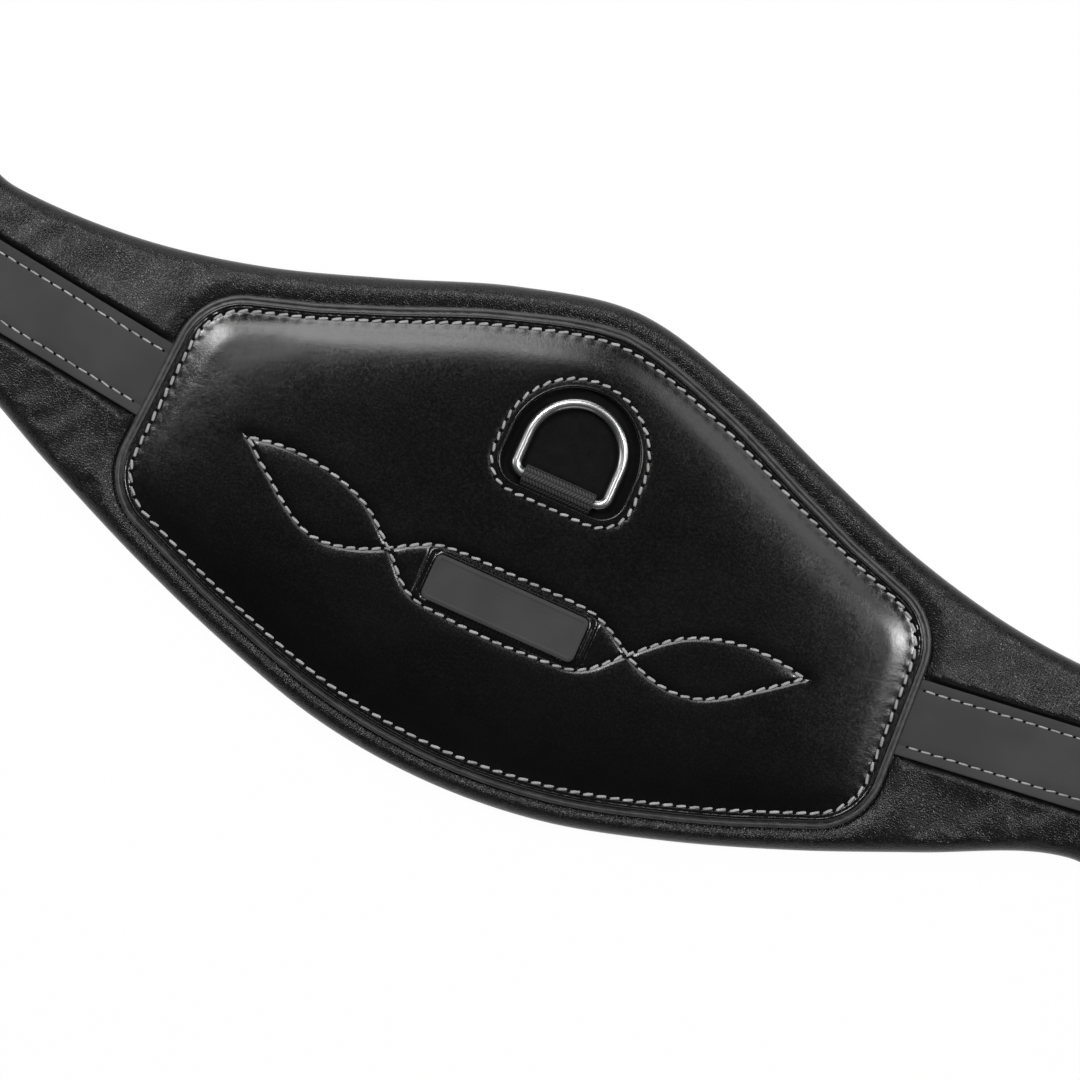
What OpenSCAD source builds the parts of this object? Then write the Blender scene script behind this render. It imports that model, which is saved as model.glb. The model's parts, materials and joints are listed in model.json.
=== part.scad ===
// Short saddle girth, padded leather, with a shaped centre plate, a ring in a
// window, and two elastic roller buckles at each end. Millimetres.
// X runs along the girth, +Y is the edge that carries the ring, Z is up.
// The girth lies flat on Z = 0 with its outer face up.

/* [Girth body] */
// From the middle line to the inner end of the arms, along X
body_half = 157; // [140:170]
// Depth of the front edge ahead of the arm line, at the middle
front_depth = 116; // [108:126]
// Depth of the rear edge behind the arm line, at the middle
rear_depth = 77; // [68:88]
// Angle by which each arm rises towards the front edge
arm_rise = 7; // [0:10]
// Width of the arm at its narrowest
arm_width = 70; // [64:78]
// Width of the padded end below the buckles
end_width = 98; // [96:110]
// Length of each arm from the plate to the end of the padding
arm_length = 208; // [206:225]
// Thickness of the padded body
pad_thick = 12; // [10:16]
// Thickness of the soft leather skins
skin = 1.4; // [1:2]
// Width of the load webbing sewn inside
web_width = 50; // [30:54]
// Thickness of the load webbing
web_thick = 1.6; // [1:2]

/* [Centre plate] */
// Half length of the plate at its rear corners
plate_half = 157; // [150:162]
// Lean of the plate's ends, from rear corner to front corner
plate_lean = 4.5; // [0:8]
// Radius of the plate's corners
plate_corner = 27; // [22:30]
// Width of the padded rim left in front of the plate
rim_front = 8.5; // [7:11]
// Width of the padded rim left behind the plate
rim_rear = 7.4; // [6:10]
// Thickness of the backing leather
backing = 2.4; // [2:3.5]
// Step from the backing's edge to the top leather's edge
edge_step = 2.9; // [2:4]
// Thickness of the top leather
top_leather = 2.2; // [1.8:3]
// Thickness of the foam under the top leather
crown = 4.5; // [3.8:6]

/* [Ring and window] */
// Radius of the window's round front
window_radius = 25.7; // [24.5:27]
// Distance of the round front's centre ahead of the arm line
window_ahead = 57.5; // [54:60]
// Distance from that centre back to the window's rear edge
window_tail = 19.5; // [19:21]
// Radius of the window's rear corners
window_corner = 10; // [7:12]
// Thickness of the window's lining
lining = 1.6; // [1.4:2]
// Thickness of the turned leather edge of the window
binding = 0.9; // [0.6:1.2]
// Ring wire diameter
ring_wire = 4.15; // [3.6:4.4]
// Ring width over the wire
ring_width = 41.4; // [40:43]
// Length of the ring's straight sides
ring_side = 10.5; // [9:11.5]
// Width of the ribbed webbing that holds the ring
keeper_width = 28.8; // [20:29]
// Thickness of that webbing
keeper_thick = 1.4; // [1:1.6]

/* [Name patch] */
// Length of the plain rubber patch
patch_length = 62.5; // [50:66]
// Width of the patch
patch_width = 18; // [12:22]
// Thickness of the patch
patch_thick = 1.4; // [1:2]
// Width of the raised leather frame round the patch
patch_frame = 3.6; // [2:6]

/* [Straps and yokes] */
// Width of the rubber-faced strap on each arm
strap_width = 30; // [20:34]
// Thickness of the strap
strap_thick = 1.5; // [1:1.5]
// Length of strap tucked below the plate
strap_tuck = 12; // [9:16]
// Distance from the plate to the leather yoke, along the arm
yoke_at = 100; // [98:103]
// Length of the yoke along the arm
yoke_length = 28; // [25:29]
// Thickness of the leather above the elastics
yoke_cover = 1.7; // [1.2:2.5]

/* [Buckles] */
// Distance between the two buckles of one end
buckle_pitch = 50; // [48:51]
// Inner width of a buckle, for the billet
buckle_inner = 28; // [26.5:29]
// Distance between the heel bar and the roller bar
buckle_length = 30; // [27:32]
// Buckle wire diameter
buckle_wire = 4.5; // [4:4.7]
// Outer diameter of the roller
roller_size = 7.2; // [7:8]
// Tongue diameter
tongue_wire = 3.2; // [2.6:3.6]
// Distance from the yoke to the heel bar
heel_reach = 40; // [38:42]
// Thickness of the elastic webbing
elastic_thick = 2.2; // [1.6:2.3]
// Length of elastic held between the two plies of the chape
chape_grip = 14; // [10:16]

/* [Hidden] */
// Every sub-part
// The sub-part to draw, or all of them

$fn = 48;

// Running gap between a bar and the piece that turns on it
run_gap = 0.06;
// Gap between soft pieces that move against each other
soft_gap = 0.28;
// Gap round a piece that is dropped into a recess
fit_gap = 0.1;

// The body's edges pass through stations this far apart along X. At each one
// the depth beyond half an arm's width is this share of the middle's.
station = body_half / 3.5;
front_share = [1, 0.815, 0.54, 0.283, 0.101, 0.008, 0, 0, 0];
rear_share = [1, 1.038, 0.882, 0.627, 0.302, -0.034, 0, 0, 0];
// The arm widens to the padded end over this length, centred where the yoke starts
flare_length = 44;
straight_from = 7;
points_per_station = 4;
end_corner = 22;

// Half section of the padded rim: distance in from the outline, and height as
// a share of the padding's thickness. The two skins meet at the widest row.
rim_section = [[5.5, 0], [2.4, 0.075], [0.6, 0.23], [0, 0.43],
               [0.4, 0.67], [2, 0.88], [5, 1]];
seam_row = 3;

// The rims beside the plate widen a little towards the arms
rim_front_growth = 0.032;
rim_rear_growth = 0.009;
plate_points = 11;
// The flat shelf that takes the border stitching, then the rise of the crown
// as [scale about the plate's middle, share of the crown's height]
shelf_inset = 9;
crown_rise = [[0.955, 0], [0.93, 0.53], [0.9, 0.84], [0.85, 1]];
edge_round = 0.4;

plate_z = pad_thick + backing;
crown_z = plate_z + crown + top_leather;
window_y = window_ahead;
lining_margin = 5.5;
binding_lip = 0.25;
ring_y = window_y + 0.5;
ring_bend = 4;
ring_axis_r = (ring_width - ring_wire) / 2;
ring_bar_y = ring_y - ring_side - ring_bend;
ring_z = plate_z + lining + ring_wire / 2 + soft_gap;
keeper_bore = ring_wire / 2 + run_gap;
keeper_outer = keeper_bore + keeper_thick;
keeper_drop = ring_z - plate_z;
keeper_tail = 21;
keeper_slot = keeper_width + 2 * soft_gap;
patch_y = -5.6;
patch_round = 2.5;

// Heights and lengths of the buckle ends, along the arm from the plate
bore_r = buckle_wire / 2 + run_gap;
ply = roller_size / 2 - bore_r;
bar_height = pad_thick + soft_gap + roller_size / 2;
heel_at = yoke_at + yoke_length + heel_reach;
buckle_bend = buckle_wire * 0.75;
side_bar = (buckle_inner + buckle_wire) / 2;
chape_width = 2 * (side_bar - buckle_bend) - 0.5;
elastic_width = chape_width - 0.2;
chape_throat = 8;
elastic_low = bar_height - bore_r;
root_at = yoke_at + 11;
yoke_half = buckle_pitch / 2 + chape_width / 2 + 3.4;
yoke_base_thick = elastic_low - pad_thick - 0.05;
pocket_top = elastic_low + elastic_thick + fit_gap;
eye_width = 4.2;
tongue_rest = roller_size / 2 + tongue_wire / 2 + 0.05;
tongue_tilt = asin(tongue_rest / buckle_length);

leather = [0.12, 0.12, 0.13];
glossy = [0.06, 0.06, 0.07];
rubber = [0.27, 0.27, 0.28];
webbing = [0.18, 0.18, 0.18];
foam = [0.3, 0.3, 0.32];
steel = [0.75, 0.76, 0.78];

// ------------------------------------------------------- plane geometry
function unit(v) = v / norm(v);

// Smooth curve through values that are one station apart, mirrored at zero
function curve(v, x) = let (u = abs(x) / station, i = min(floor(u), len(v) - 2),
    t = u - i, a = v[abs(i - 1)], b = v[i], c = v[i + 1],
    d = i + 2 < len(v) ? v[i + 2] : 2 * c - b)
    b + t / 2 * (c - a + t * (2 * a - 5 * b + 4 * c - d + t * (3 * (b - c) + d - a)));

// The points of a rounded corner at b, for a path from a through b to c
function corner(a, b, c, r, n = 5) = let (u = unit(a - b), v = unit(c - b),
    half = acos(u * v) / 2, centre = b + unit(u + v) * r / sin(half),
    first = b + u * r / tan(half) - centre, start = atan2(first.y, first.x),
    side = cross(b - a, c - b) > 0 ? 1 : -1, sweep = side * (180 - 2 * half))
    [for (k = [0:n]) centre + polar(r, start + sweep * k / n)];

// A closed outline with every corner rounded
function rounded(p, r, n = 5) = let (m = len(p))
    [for (i = [0:m - 1]) each corner(p[(i + m - 1) % m], p[i], p[(i + 1) % m], r, n)];

// An outline moved inwards by d; outlines run anticlockwise
function inset(p, d) = let (m = len(p)) [for (i = [0:m - 1])
    let (e = unit(p[i] - p[(i + m - 1) % m]), f = unit(p[(i + 1) % m] - p[i]),
         g = [-e.y - f.y, e.x + f.x])
    p[i] + g * d / (1 + e * f)];

// The left half added to a right half that runs from the rear to the front
function both_halves(h) = concat(h, [for (i = [len(h) - 2:-1:1]) [-h[i].x, h[i].y]]);

// The point at radius r and angle a
function polar(r, a) = r * [cos(a), sin(a)];

// Points of an arc about the origin, from angle a to angle b
function arc(r, a, b, n = 16) = [for (k = [0:n]) polar(r, a + (b - a) * k / n)];

function box(l, w) = [[-l, -w] / 2, [l, -w] / 2, [l, w] / 2, [-l, w] / 2];

// ------------------------------------------------------------- outlines
arm_half = arm_width / 2 / cos(arm_rise);
function line_y(x) = abs(x) * tan(arm_rise);
front_edge = [for (k = [0:8]) line_y(k * station) + arm_half
    + (front_depth - arm_half) * front_share[k]];
rear_edge = [for (k = [0:8]) line_y(k * station) - arm_half
    - (rear_depth - arm_half) * rear_share[k]];

// An even curve from 0 at t = 0 to 1 at t = 1
function ease(t) = let (u = max(0, min(1, t))) u * u * (3 - 2 * u);
function flare(x) = (end_width - arm_width) / 2 / cos(arm_rise)
    * ease((x - body_half - yoke_at + 3) / flare_length + 0.5);
function pad_front(x) = curve(front_edge, x) + flare(x);
function pad_rear(x) = curve(rear_edge, x) - flare(x);

// A point of the right arm: s along it from the plate, t across it
function on_arm(s, t) = [body_half, line_y(body_half)]
    + s * [cos(arm_rise), sin(arm_rise)] + t * [-sin(arm_rise), cos(arm_rise)];

edge_x = [for (k = [0:straight_from * points_per_station]) k * station / points_per_station];
rear_end = on_arm(arm_length, -end_width / 2);
front_end = on_arm(arm_length, end_width / 2);
last_x = edge_x[len(edge_x) - 1];
pad_outline = both_halves(concat(
    [for (x = edge_x) [x, pad_rear(x)]],
    corner([last_x, pad_rear(last_x)], rear_end, front_end, end_corner),
    corner(rear_end, front_end, [last_x, pad_front(last_x)], end_corner),
    [for (i = [len(edge_x) - 1:-1:0]) [edge_x[i], pad_front(edge_x[i])]]));

function plate_front(x) = curve(front_edge, x) - rim_front - rim_front_growth * x;
function plate_rear(x) = curve(rear_edge, x) + rim_rear + rim_rear_growth * x;
plate_x = [for (k = [0:plate_points]) k * (plate_half - 1.7 * plate_corner) / plate_points];
plate_last = plate_x[plate_points];
plate_rear_corner = [plate_half, plate_rear(plate_half)];
plate_front_corner = [plate_half - plate_lean, plate_front(plate_half - plate_lean)];
plate_outline = both_halves(concat(
    [for (x = plate_x) [x, plate_rear(x)]],
    corner([plate_last, plate_rear(plate_last)], plate_rear_corner, plate_front_corner,
        plate_corner),
    corner(plate_rear_corner, plate_front_corner, [plate_last, plate_front(plate_last)],
        plate_corner),
    [for (i = [plate_points:-1:0]) [plate_x[i], plate_front(plate_x[i])]]));
plate_middle = [0, (plate_front(0) + plate_rear(0)) / 2];

yoke_front = yoke_at + yoke_length;
web_half = web_width / 2;
web_outline = both_halves([[0, -web_half / cos(arm_rise)], on_arm(yoke_front, -web_half),
    on_arm(yoke_front, web_half), [0, web_half / cos(arm_rise)]]);

yoke_outline = rounded([[yoke_at - 14, -strap_width / 2 - 2], [yoke_at - 1, -strap_width / 2 - 5],
    [yoke_at + 10, -yoke_half], [yoke_front, -yoke_half], [yoke_front, yoke_half],
    [yoke_at + 10, yoke_half], [yoke_at - 1, strap_width / 2 + 5],
    [yoke_at - 14, strap_width / 2 + 2]], 4, 4);

// The window's outline, larger all round by o
module dee(o = 0) {
    hull() {
        translate([0, window_y]) circle(window_radius + o);
        for (x = [-1, 1])
            translate([x * (window_radius - window_corner), window_y - window_tail + window_corner])
                circle(window_corner + o, $fn = 32);
    }
}

// --------------------------------------------------------------- solids
// A closed skin through rings of one outline: each row is
// [distance in from the outline, height, scale about the middle]
module loft(outline, rows, middle = [0, 0]) {
    n = len(outline);
    top = len(rows) - 1;
    rings = [for (r = rows) each [for (p = inset(outline, r[0]))
        let (q = middle + (p - middle) * (len(r) > 2 ? r[2] : 1)) [q.x, q.y, r[1]]]];
    sides = [for (k = [0:top - 1]) for (i = [0:n - 1]) let (j = (i + 1) % n)
        each [[k * n + i, k * n + n + i, k * n + n + j], [k * n + i, k * n + n + j, k * n + j]]];
    // The ends close with strips that run from the rear edge to the front edge
    m = n / 2 + 1;
    strips = [for (i = [0:m / 2 - 2]) each [[i, i + 1, m - 2 - i, m - 1 - i],
        [m - 1 + i, m + i, n - i - 1, (n - i) % n]]];
    polyhedron(rings, concat(strips, sides,
        [for (f = strips) [for (k = [3:-1:0]) top * n + f[k]]]));
}

// The girth stands so that its outline is centred on the origin
module placed() {
    translate([0, (rear_depth - front_depth) / 2, 0]) children();
}

// Children drawn along the arm; side is 1 for the right arm, -1 for the left
module arm(side) {
    placed() mirror([side < 0 ? 1 : 0, 0, 0]) translate([body_half, line_y(body_half), 0])
        rotate([0, 0, arm_rise]) children();
}

// Children drawn about a buckle's heel bar; row is 1 for the front buckle
module at_heel(side, row) {
    arm(side) translate([heel_at, row * buckle_pitch / 2, bar_height]) children();
}

module rod(from, to, r) {
    translate(from) rotate([0, acos((to - from).z / norm(to - from)),
        atan2((to - from).y, (to - from).x)]) cylinder(h = norm(to - from), r = r);
}

// A quarter bend of round wire, drawn in the XY plane about its own centre
module bend(centre, start, wire, radius) {
    translate(centre) rotate([0, 0, start])
        rotate_extrude(angle = 90) translate([radius, 0]) circle(wire / 2, $fn = 32);
}

outer_rows = [for (r = rim_section) [r[0], r[1] * pad_thick]];
inner_rows = [for (r = rim_section) [r[0] + skin, skin + r[1] * (pad_thick - 2 * skin)]];
top_row = len(rim_section) - 1;

module pad_liner() {
    color(leather) placed() loft(pad_outline, concat(
        [for (k = [0:seam_row]) outer_rows[k]],
        [for (k = [seam_row:-1:0]) inner_rows[k]]));
}

module pad_cover() {
    color(leather) placed() loft(pad_outline, concat(
        [for (k = [top_row:-1:seam_row]) inner_rows[k]],
        [for (k = [seam_row:top_row]) outer_rows[k]]));
}

module web_band(extra = 0) {
    translate([0, 0, pad_thick - skin - web_thick]) linear_extrude(web_thick + extra)
        polygon(web_outline);
}

module pad_foam() {
    color(foam) placed() difference() {
        loft(pad_outline, inner_rows);
        web_band(1);
    }
}

module load_web() {
    color(webbing) placed() web_band();
}

module strap_bar(spare = 0) {
    start = -strap_tuck - plate_lean - spare;
    translate([start, -strap_width / 2 - spare, pad_thick - spare])
        cube([yoke_at + 8 - start, strap_width + 2 * spare, strap_thick + spare]);
}

module strap(side) {
    color(rubber) arm(side) strap_bar();
}

module strap_left() { strap(-1); }
module strap_right() { strap(1); }

module plate_backing() {
    color(leather) difference() {
        placed() translate([0, 0, pad_thick]) linear_extrude(backing) polygon(plate_outline);
        for (side = [-1, 1]) arm(side) strap_bar(fit_gap);
    }
}

module keeper_space(height) {
    translate([-keeper_slot / 2, ring_bar_y - keeper_tail - soft_gap, plate_z - 1])
        cube([keeper_slot, keeper_tail + keeper_outer + 2 * soft_gap, height + 1]);
}

under_rows = [for (r = crown_rise) [shelf_inset, plate_z + crown * r[1], r[0]]];
over_rows = [for (r = under_rows) [r[0], r[1] + top_leather, r[2]]];
crown_top = len(crown_rise) - 1;

module plate_foam() {
    color(foam) placed() difference() {
        loft(plate_outline, under_rows, plate_middle);
        translate([0, 0, plate_z - 1]) linear_extrude(crown + 2) dee();
        translate([0, 0, plate_z - 1]) linear_extrude(lining + 1) dee(lining_margin);
        keeper_space(2 * keeper_thick + fit_gap);
    }
}

module plate_top() {
    color(glossy) placed() difference() {
        union() {
            loft(plate_outline, concat(
                [for (k = [crown_top:-1:0]) under_rows[k]],
                [[edge_step, plate_z], [edge_step, plate_z + top_leather - edge_round],
                 [edge_step + edge_round, plate_z + top_leather]],
                over_rows), plate_middle);
            translate([0, patch_y, crown_z - top_leather / 2]) linear_extrude(top_leather / 2 + 1)
                polygon(rounded(box(patch_length + 2 * patch_frame,
                    patch_width + 2 * patch_frame), patch_round));
        }
        translate([0, patch_y, crown_z]) linear_extrude(2)
            polygon(rounded(box(patch_length + fit_gap, patch_width + fit_gap), patch_round));
        translate([0, 0, plate_z - 1]) linear_extrude(crown + top_leather + 2) dee();
    }
}

module window_lining() {
    color(webbing) placed() difference() {
        translate([0, 0, plate_z]) linear_extrude(lining) dee(lining_margin);
        keeper_space(lining + 1);
    }
}

module window_binding() {
    color(glossy) placed() difference() {
        translate([0, 0, plate_z + lining])
            linear_extrude(crown + top_leather - lining + binding_lip) difference() {
                dee();
                dee(-binding);
            }
        keeper_space(lining + 2 * keeper_thick);
    }
}

// Webbing folded round the ring's straight bar, its two plies sewn down below
// the window's rear edge
module ring_keeper() {
    ply_top = 2 * keeper_thick - keeper_drop;
    color(webbing) placed() translate([0, ring_bar_y, ring_z]) rotate([90, 0, 90])
        linear_extrude(keeper_width, center = true) difference() {
            polygon(concat([[-keeper_tail, -keeper_drop], [-2.6, -keeper_drop]],
                arc(keeper_outer, -90, 145),
                [[-keeper_outer - 1.5, ply_top], [-keeper_tail, ply_top]]));
            circle(keeper_bore);
        }
}

module dee_ring() {
    r = ring_wire / 2;
    color(steel) placed() translate([0, ring_y, ring_z]) {
        rotate_extrude(angle = 180) translate([ring_axis_r, 0]) circle(r, $fn = 32);
        for (x = [-ring_axis_r, ring_axis_r]) rod([x, -ring_side, 0], [x, 0, 0], r);
        bend([ring_axis_r - ring_bend, -ring_side, 0], 270, ring_wire, ring_bend);
        bend([ring_bend - ring_axis_r, -ring_side, 0], 180, ring_wire, ring_bend);
        rod([ring_bend - ring_axis_r, -ring_side - ring_bend, 0],
            [ring_axis_r - ring_bend, -ring_side - ring_bend, 0], r);
    }
}

module name_patch() {
    color(rubber) placed() translate([0, patch_y, crown_z]) linear_extrude(patch_thick)
        polygon(rounded(box(patch_length, patch_width), patch_round));
}

// Leather layer below the elastics, cut out round the strap's end
module yoke_base(side) {
    color(leather) arm(side) difference() {
        translate([0, 0, pad_thick]) linear_extrude(yoke_base_thick) polygon(yoke_outline);
        strap_bar(fit_gap);
    }
}

module yoke_base_left() { yoke_base(-1); }
module yoke_base_right() { yoke_base(1); }

// Leather layer over the strap's end and the roots of both elastics
module yoke_cap(side) {
    base = pad_thick + yoke_base_thick;
    color(leather) arm(side) difference() {
        translate([0, 0, base]) linear_extrude(pocket_top - base + yoke_cover)
            polygon(yoke_outline);
        for (row = [-1, 1])
            translate([root_at - fit_gap, row * buckle_pitch / 2 - elastic_width / 2 - fit_gap,
                base - 1])
                cube([yoke_length, elastic_width + 2 * fit_gap, pocket_top - base + 1]);
    }
}

module yoke_cap_left() { yoke_cap(-1); }
module yoke_cap_right() { yoke_cap(1); }

module elastic(side, row) {
    color(webbing) arm(side)
        translate([root_at, row * buckle_pitch / 2 - elastic_width / 2, elastic_low])
            cube([heel_at - chape_throat - root_at, elastic_width, elastic_thick]);
}

module elastic_lf() { elastic(-1, 1); }
module elastic_lr() { elastic(-1, -1); }
module elastic_rf() { elastic(1, 1); }
module elastic_rr() { elastic(1, -1); }

// Leather chape: wraps the heel bar and holds the elastic's end between its
// plies, with a slot that lets the tongue swing back
module chape(side, row) {
    outer = bore_r + ply;
    inside = bore_r - run_gap * 3;
    ply_turn = 109;
    ply_top = elastic_thick - bore_r + ply;
    back = chape_throat + chape_grip;
    color(leather) at_heel(side, row) difference() {
        rotate([90, 0, 0]) linear_extrude(chape_width, center = true) difference() {
            polygon(concat([[-back, -outer]], arc(outer, -90, ply_turn),
                [[-chape_throat, ply_top], [-back, ply_top]]));
            circle(bore_r);
            polygon([[-back - 1, -bore_r], [-chape_throat, -bore_r], polar(inside, 250),
                polar(inside, ply_turn), [-chape_throat, elastic_thick - bore_r],
                [-back - 1, elastic_thick - bore_r]]);
        }
        translate([-chape_throat, -eye_width / 2 - soft_gap, -outer - 1])
            cube([chape_throat + outer + 1, eye_width + 2 * soft_gap, 2 * outer + 2]);
    }
}

module chape_lf() { chape(-1, 1); }
module chape_lr() { chape(-1, -1); }
module chape_rf() { chape(1, 1); }
module chape_rr() { chape(1, -1); }

module buckle_frame(side, row) {
    r = buckle_wire / 2;
    straight = side_bar - buckle_bend;
    far = buckle_length - buckle_bend;
    color(steel) at_heel(side, row) {
        for (x = [0, buckle_length]) rod([x, -straight, 0], [x, straight, 0], r);
        for (y = [-side_bar, side_bar]) rod([buckle_bend, y, 0], [far, y, 0], r);
        bend([far, straight, 0], 0, buckle_wire, buckle_bend);
        bend([buckle_bend, straight, 0], 90, buckle_wire, buckle_bend);
        bend([buckle_bend, -straight, 0], 180, buckle_wire, buckle_bend);
        bend([far, -straight, 0], 270, buckle_wire, buckle_bend);
    }
}

module frame_lf() { buckle_frame(-1, 1); }
module frame_lr() { buckle_frame(-1, -1); }
module frame_rf() { buckle_frame(1, 1); }
module frame_rr() { buckle_frame(1, -1); }

module tongue(side, row) {
    eye = bore_r + ply;
    reach = buckle_length + 3.5;
    color(steel) at_heel(side, row) difference() {
        union() {
            rotate([90, 0, 0]) cylinder(h = eye_width, r = eye, center = true);
            rotate([0, -tongue_tilt, 0]) {
                rotate([0, 90, 0]) cylinder(h = reach, r = tongue_wire / 2);
                translate([reach, 0, 0]) sphere(tongue_wire / 2);
            }
        }
        rotate([90, 0, 0]) cylinder(h = eye_width + 2, r = bore_r, center = true);
    }
}

module tongue_lf() { tongue(-1, 1); }
module tongue_lr() { tongue(-1, -1); }
module tongue_rf() { tongue(1, 1); }
module tongue_rr() { tongue(1, -1); }

module roller(side, row) {
    color(steel) at_heel(side, row) translate([buckle_length, 0, 0]) rotate([90, 0, 0])
        difference() {
            cylinder(h = chape_width, d = roller_size, center = true);
            cylinder(h = chape_width + 2, r = bore_r, center = true);
        }
}

module roller_lf() { roller(-1, 1); }
module roller_lr() { roller(-1, -1); }
module roller_rf() { roller(1, 1); }
module roller_rr() { roller(1, -1); }

pad_liner();
pad_foam();
load_web();
pad_cover();
plate_backing();
plate_foam();
plate_top();
window_lining();
window_binding();
ring_keeper();
dee_ring();
name_patch();
strap_left();
strap_right();
yoke_base_left();
yoke_base_right();
yoke_cap_left();
yoke_cap_right();
elastic_lf();
elastic_lr();
elastic_rf();
elastic_rr();
chape_lf();
chape_lr();
chape_rf();
chape_rr();
frame_lf();
frame_lr();
frame_rf();
frame_rr();
tongue_lf();
tongue_lr();
tongue_rf();
tongue_rr();
roller_lf();
roller_lr();
roller_rf();
roller_rr();
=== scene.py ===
# %% [markdown]
# # A short saddle girth in padded black leather
# The girth lies flat on the floor with its outer face up. The mechanical model gives its frame: X along
# the girth, +Y towards the edge with the ring, Z up, and one body for each thing that moves. This lesson
# dresses that frame in leather, thread, rubber, webbing and steel. Sizes below are in millimetres, as a
# saddler would write them, and turn into metres when a mesh is made.
# %% The frame
import json

import bpy
import numpy as np
from mathutils import Matrix
from mathutils.geometry import delaunay_2d_cdt

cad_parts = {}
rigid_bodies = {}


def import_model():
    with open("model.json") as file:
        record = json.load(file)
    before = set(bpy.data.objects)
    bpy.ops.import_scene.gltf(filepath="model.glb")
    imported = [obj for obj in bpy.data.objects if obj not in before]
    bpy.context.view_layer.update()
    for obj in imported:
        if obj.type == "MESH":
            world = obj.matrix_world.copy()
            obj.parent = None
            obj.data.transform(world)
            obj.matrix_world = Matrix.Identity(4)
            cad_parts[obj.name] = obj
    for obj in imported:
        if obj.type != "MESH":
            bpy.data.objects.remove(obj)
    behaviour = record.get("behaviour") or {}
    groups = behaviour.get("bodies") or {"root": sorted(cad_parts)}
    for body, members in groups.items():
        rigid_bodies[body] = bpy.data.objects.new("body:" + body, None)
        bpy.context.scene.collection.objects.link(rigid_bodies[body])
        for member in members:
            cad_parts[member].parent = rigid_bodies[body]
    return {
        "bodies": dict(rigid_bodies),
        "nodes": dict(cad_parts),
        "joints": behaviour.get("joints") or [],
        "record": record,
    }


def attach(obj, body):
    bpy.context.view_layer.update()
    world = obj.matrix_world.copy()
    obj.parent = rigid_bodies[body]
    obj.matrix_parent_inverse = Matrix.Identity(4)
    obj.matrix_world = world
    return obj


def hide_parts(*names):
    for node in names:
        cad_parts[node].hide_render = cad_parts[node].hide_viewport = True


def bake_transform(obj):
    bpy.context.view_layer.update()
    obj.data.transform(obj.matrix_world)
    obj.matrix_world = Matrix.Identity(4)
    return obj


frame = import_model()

for name in ("Cube", "Light", "Camera"):
    if name in bpy.data.objects:
        bpy.data.objects.remove(bpy.data.objects[name])
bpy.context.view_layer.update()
MM = 0.001
ENDS = {"lf": (-1, 1), "lr": (-1, -1), "rf": (1, 1), "rr": (1, -1)}
SIDES = {"left": -1, "right": 1}

# %% [markdown]
# ## Lines on the leather
# Everything on this girth follows a few drawn lines: the outline of the padding, the outline of the
# plate, the window and the seams. Each is worked out as a dense row of points. A smooth curve through a
# few stations gives the long edges, and arcs round the corners off. They could be drawn by hand as
# Blender curves, but as arrays of points they can be measured, moved inwards and walked at any spacing,
# which the seams need.
# %% Plane curves as arrays of points
BODY_HALF, PAD, BACKING, CROWN, TOP = 157.0, 12.0, 2.4, 4.5, 2.2
RISE = np.radians(7.0)
ARM_HALF, END_HALF, FRONT, REAR = 35.0, 49.0, 116.0, 77.0
ARM_LENGTH, END_CORNER = 208.0, 22.0
SHIFT = (REAR - FRONT) / 2
STATION = BODY_HALF / 3.5
PLATE_Z = PAD + BACKING
CROWN_Z = PLATE_Z + CROWN + TOP
LIFT = BODY_HALF * np.tan(RISE)


def unit(v):
    """Each row divided by its length."""
    return v / np.maximum(np.linalg.norm(v, axis=-1, keepdims=True), 1e-12)


def station_curve(values, x):
    """Cubic through values one station apart: each piece blends four neighbours, mirrored at zero."""
    v = np.asarray(values, float)
    u = np.abs(x) / STATION
    i = np.minimum(u.astype(int), len(v) - 2)
    t = u - i
    a, b, c = v[np.abs(i - 1)], v[i], v[i + 1]
    d = np.where(i + 2 < len(v), v[np.minimum(i + 2, len(v) - 1)], 2 * c - b)
    return b + t / 2 * (c - a + t * (2 * a - 5 * b + 4 * c - d + t * (3 * (b - c) + d - a)))


def corner(a, b, c, r, n=24):
    """Arc of radius r that rounds the corner at b on a path from a through b to c."""
    a, b, c = (np.asarray(p, float) for p in (a, b, c))
    u, v = unit(a - b), unit(c - b)
    half = np.arccos(np.clip(u @ v, -1, 1)) / 2
    centre = b + unit(u + v) * r / np.sin(half)
    first = b + u * r / np.tan(half) - centre
    side = np.sign((b - a)[0] * (c - b)[1] - (b - a)[1] * (c - b)[0])
    turn = np.arctan2(first[1], first[0]) + side * (np.pi - 2 * half) * np.linspace(0, 1, n)
    return centre + r * np.stack([np.cos(turn), np.sin(turn)], 1)


def rounded(points, r, n=24):
    """Closed outline with every corner rounded by r, or by its own radius."""
    p = [np.asarray(q, float) for q in points]
    rs = np.broadcast_to(r, len(p))
    return np.concatenate([corner(p[i - 1], p[i], p[(i + 1) % len(p)], rs[i], n) for i in range(len(p))])


def length_along(p, closed=True):
    """Running length at each point, with the closing piece last when the path is closed."""
    q = np.concatenate([p, p[:1]]) if closed else p
    return np.concatenate([[0], np.cumsum(np.linalg.norm(np.diff(q, axis=0), axis=1))])


def walk(p, count, closed=True, start=0.0):
    """count points evenly spaced along a path; start shifts them by a share of the spacing."""
    q = np.concatenate([p, p[:1]]) if closed else p
    s = length_along(p, closed)
    at = (np.arange(count) + start) / count * s[-1] if closed else np.linspace(0, s[-1], count)
    return np.stack([np.interp(at, s, q[:, k]) for k in range(q.shape[1])], 1)


def tangents(p, closed=True):
    """Direction at each point: the step between its two neighbours, made one long."""
    if closed:
        return unit(np.roll(p, -1, 0) - np.roll(p, 1, 0))
    return unit(np.gradient(p, axis=0))


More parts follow.
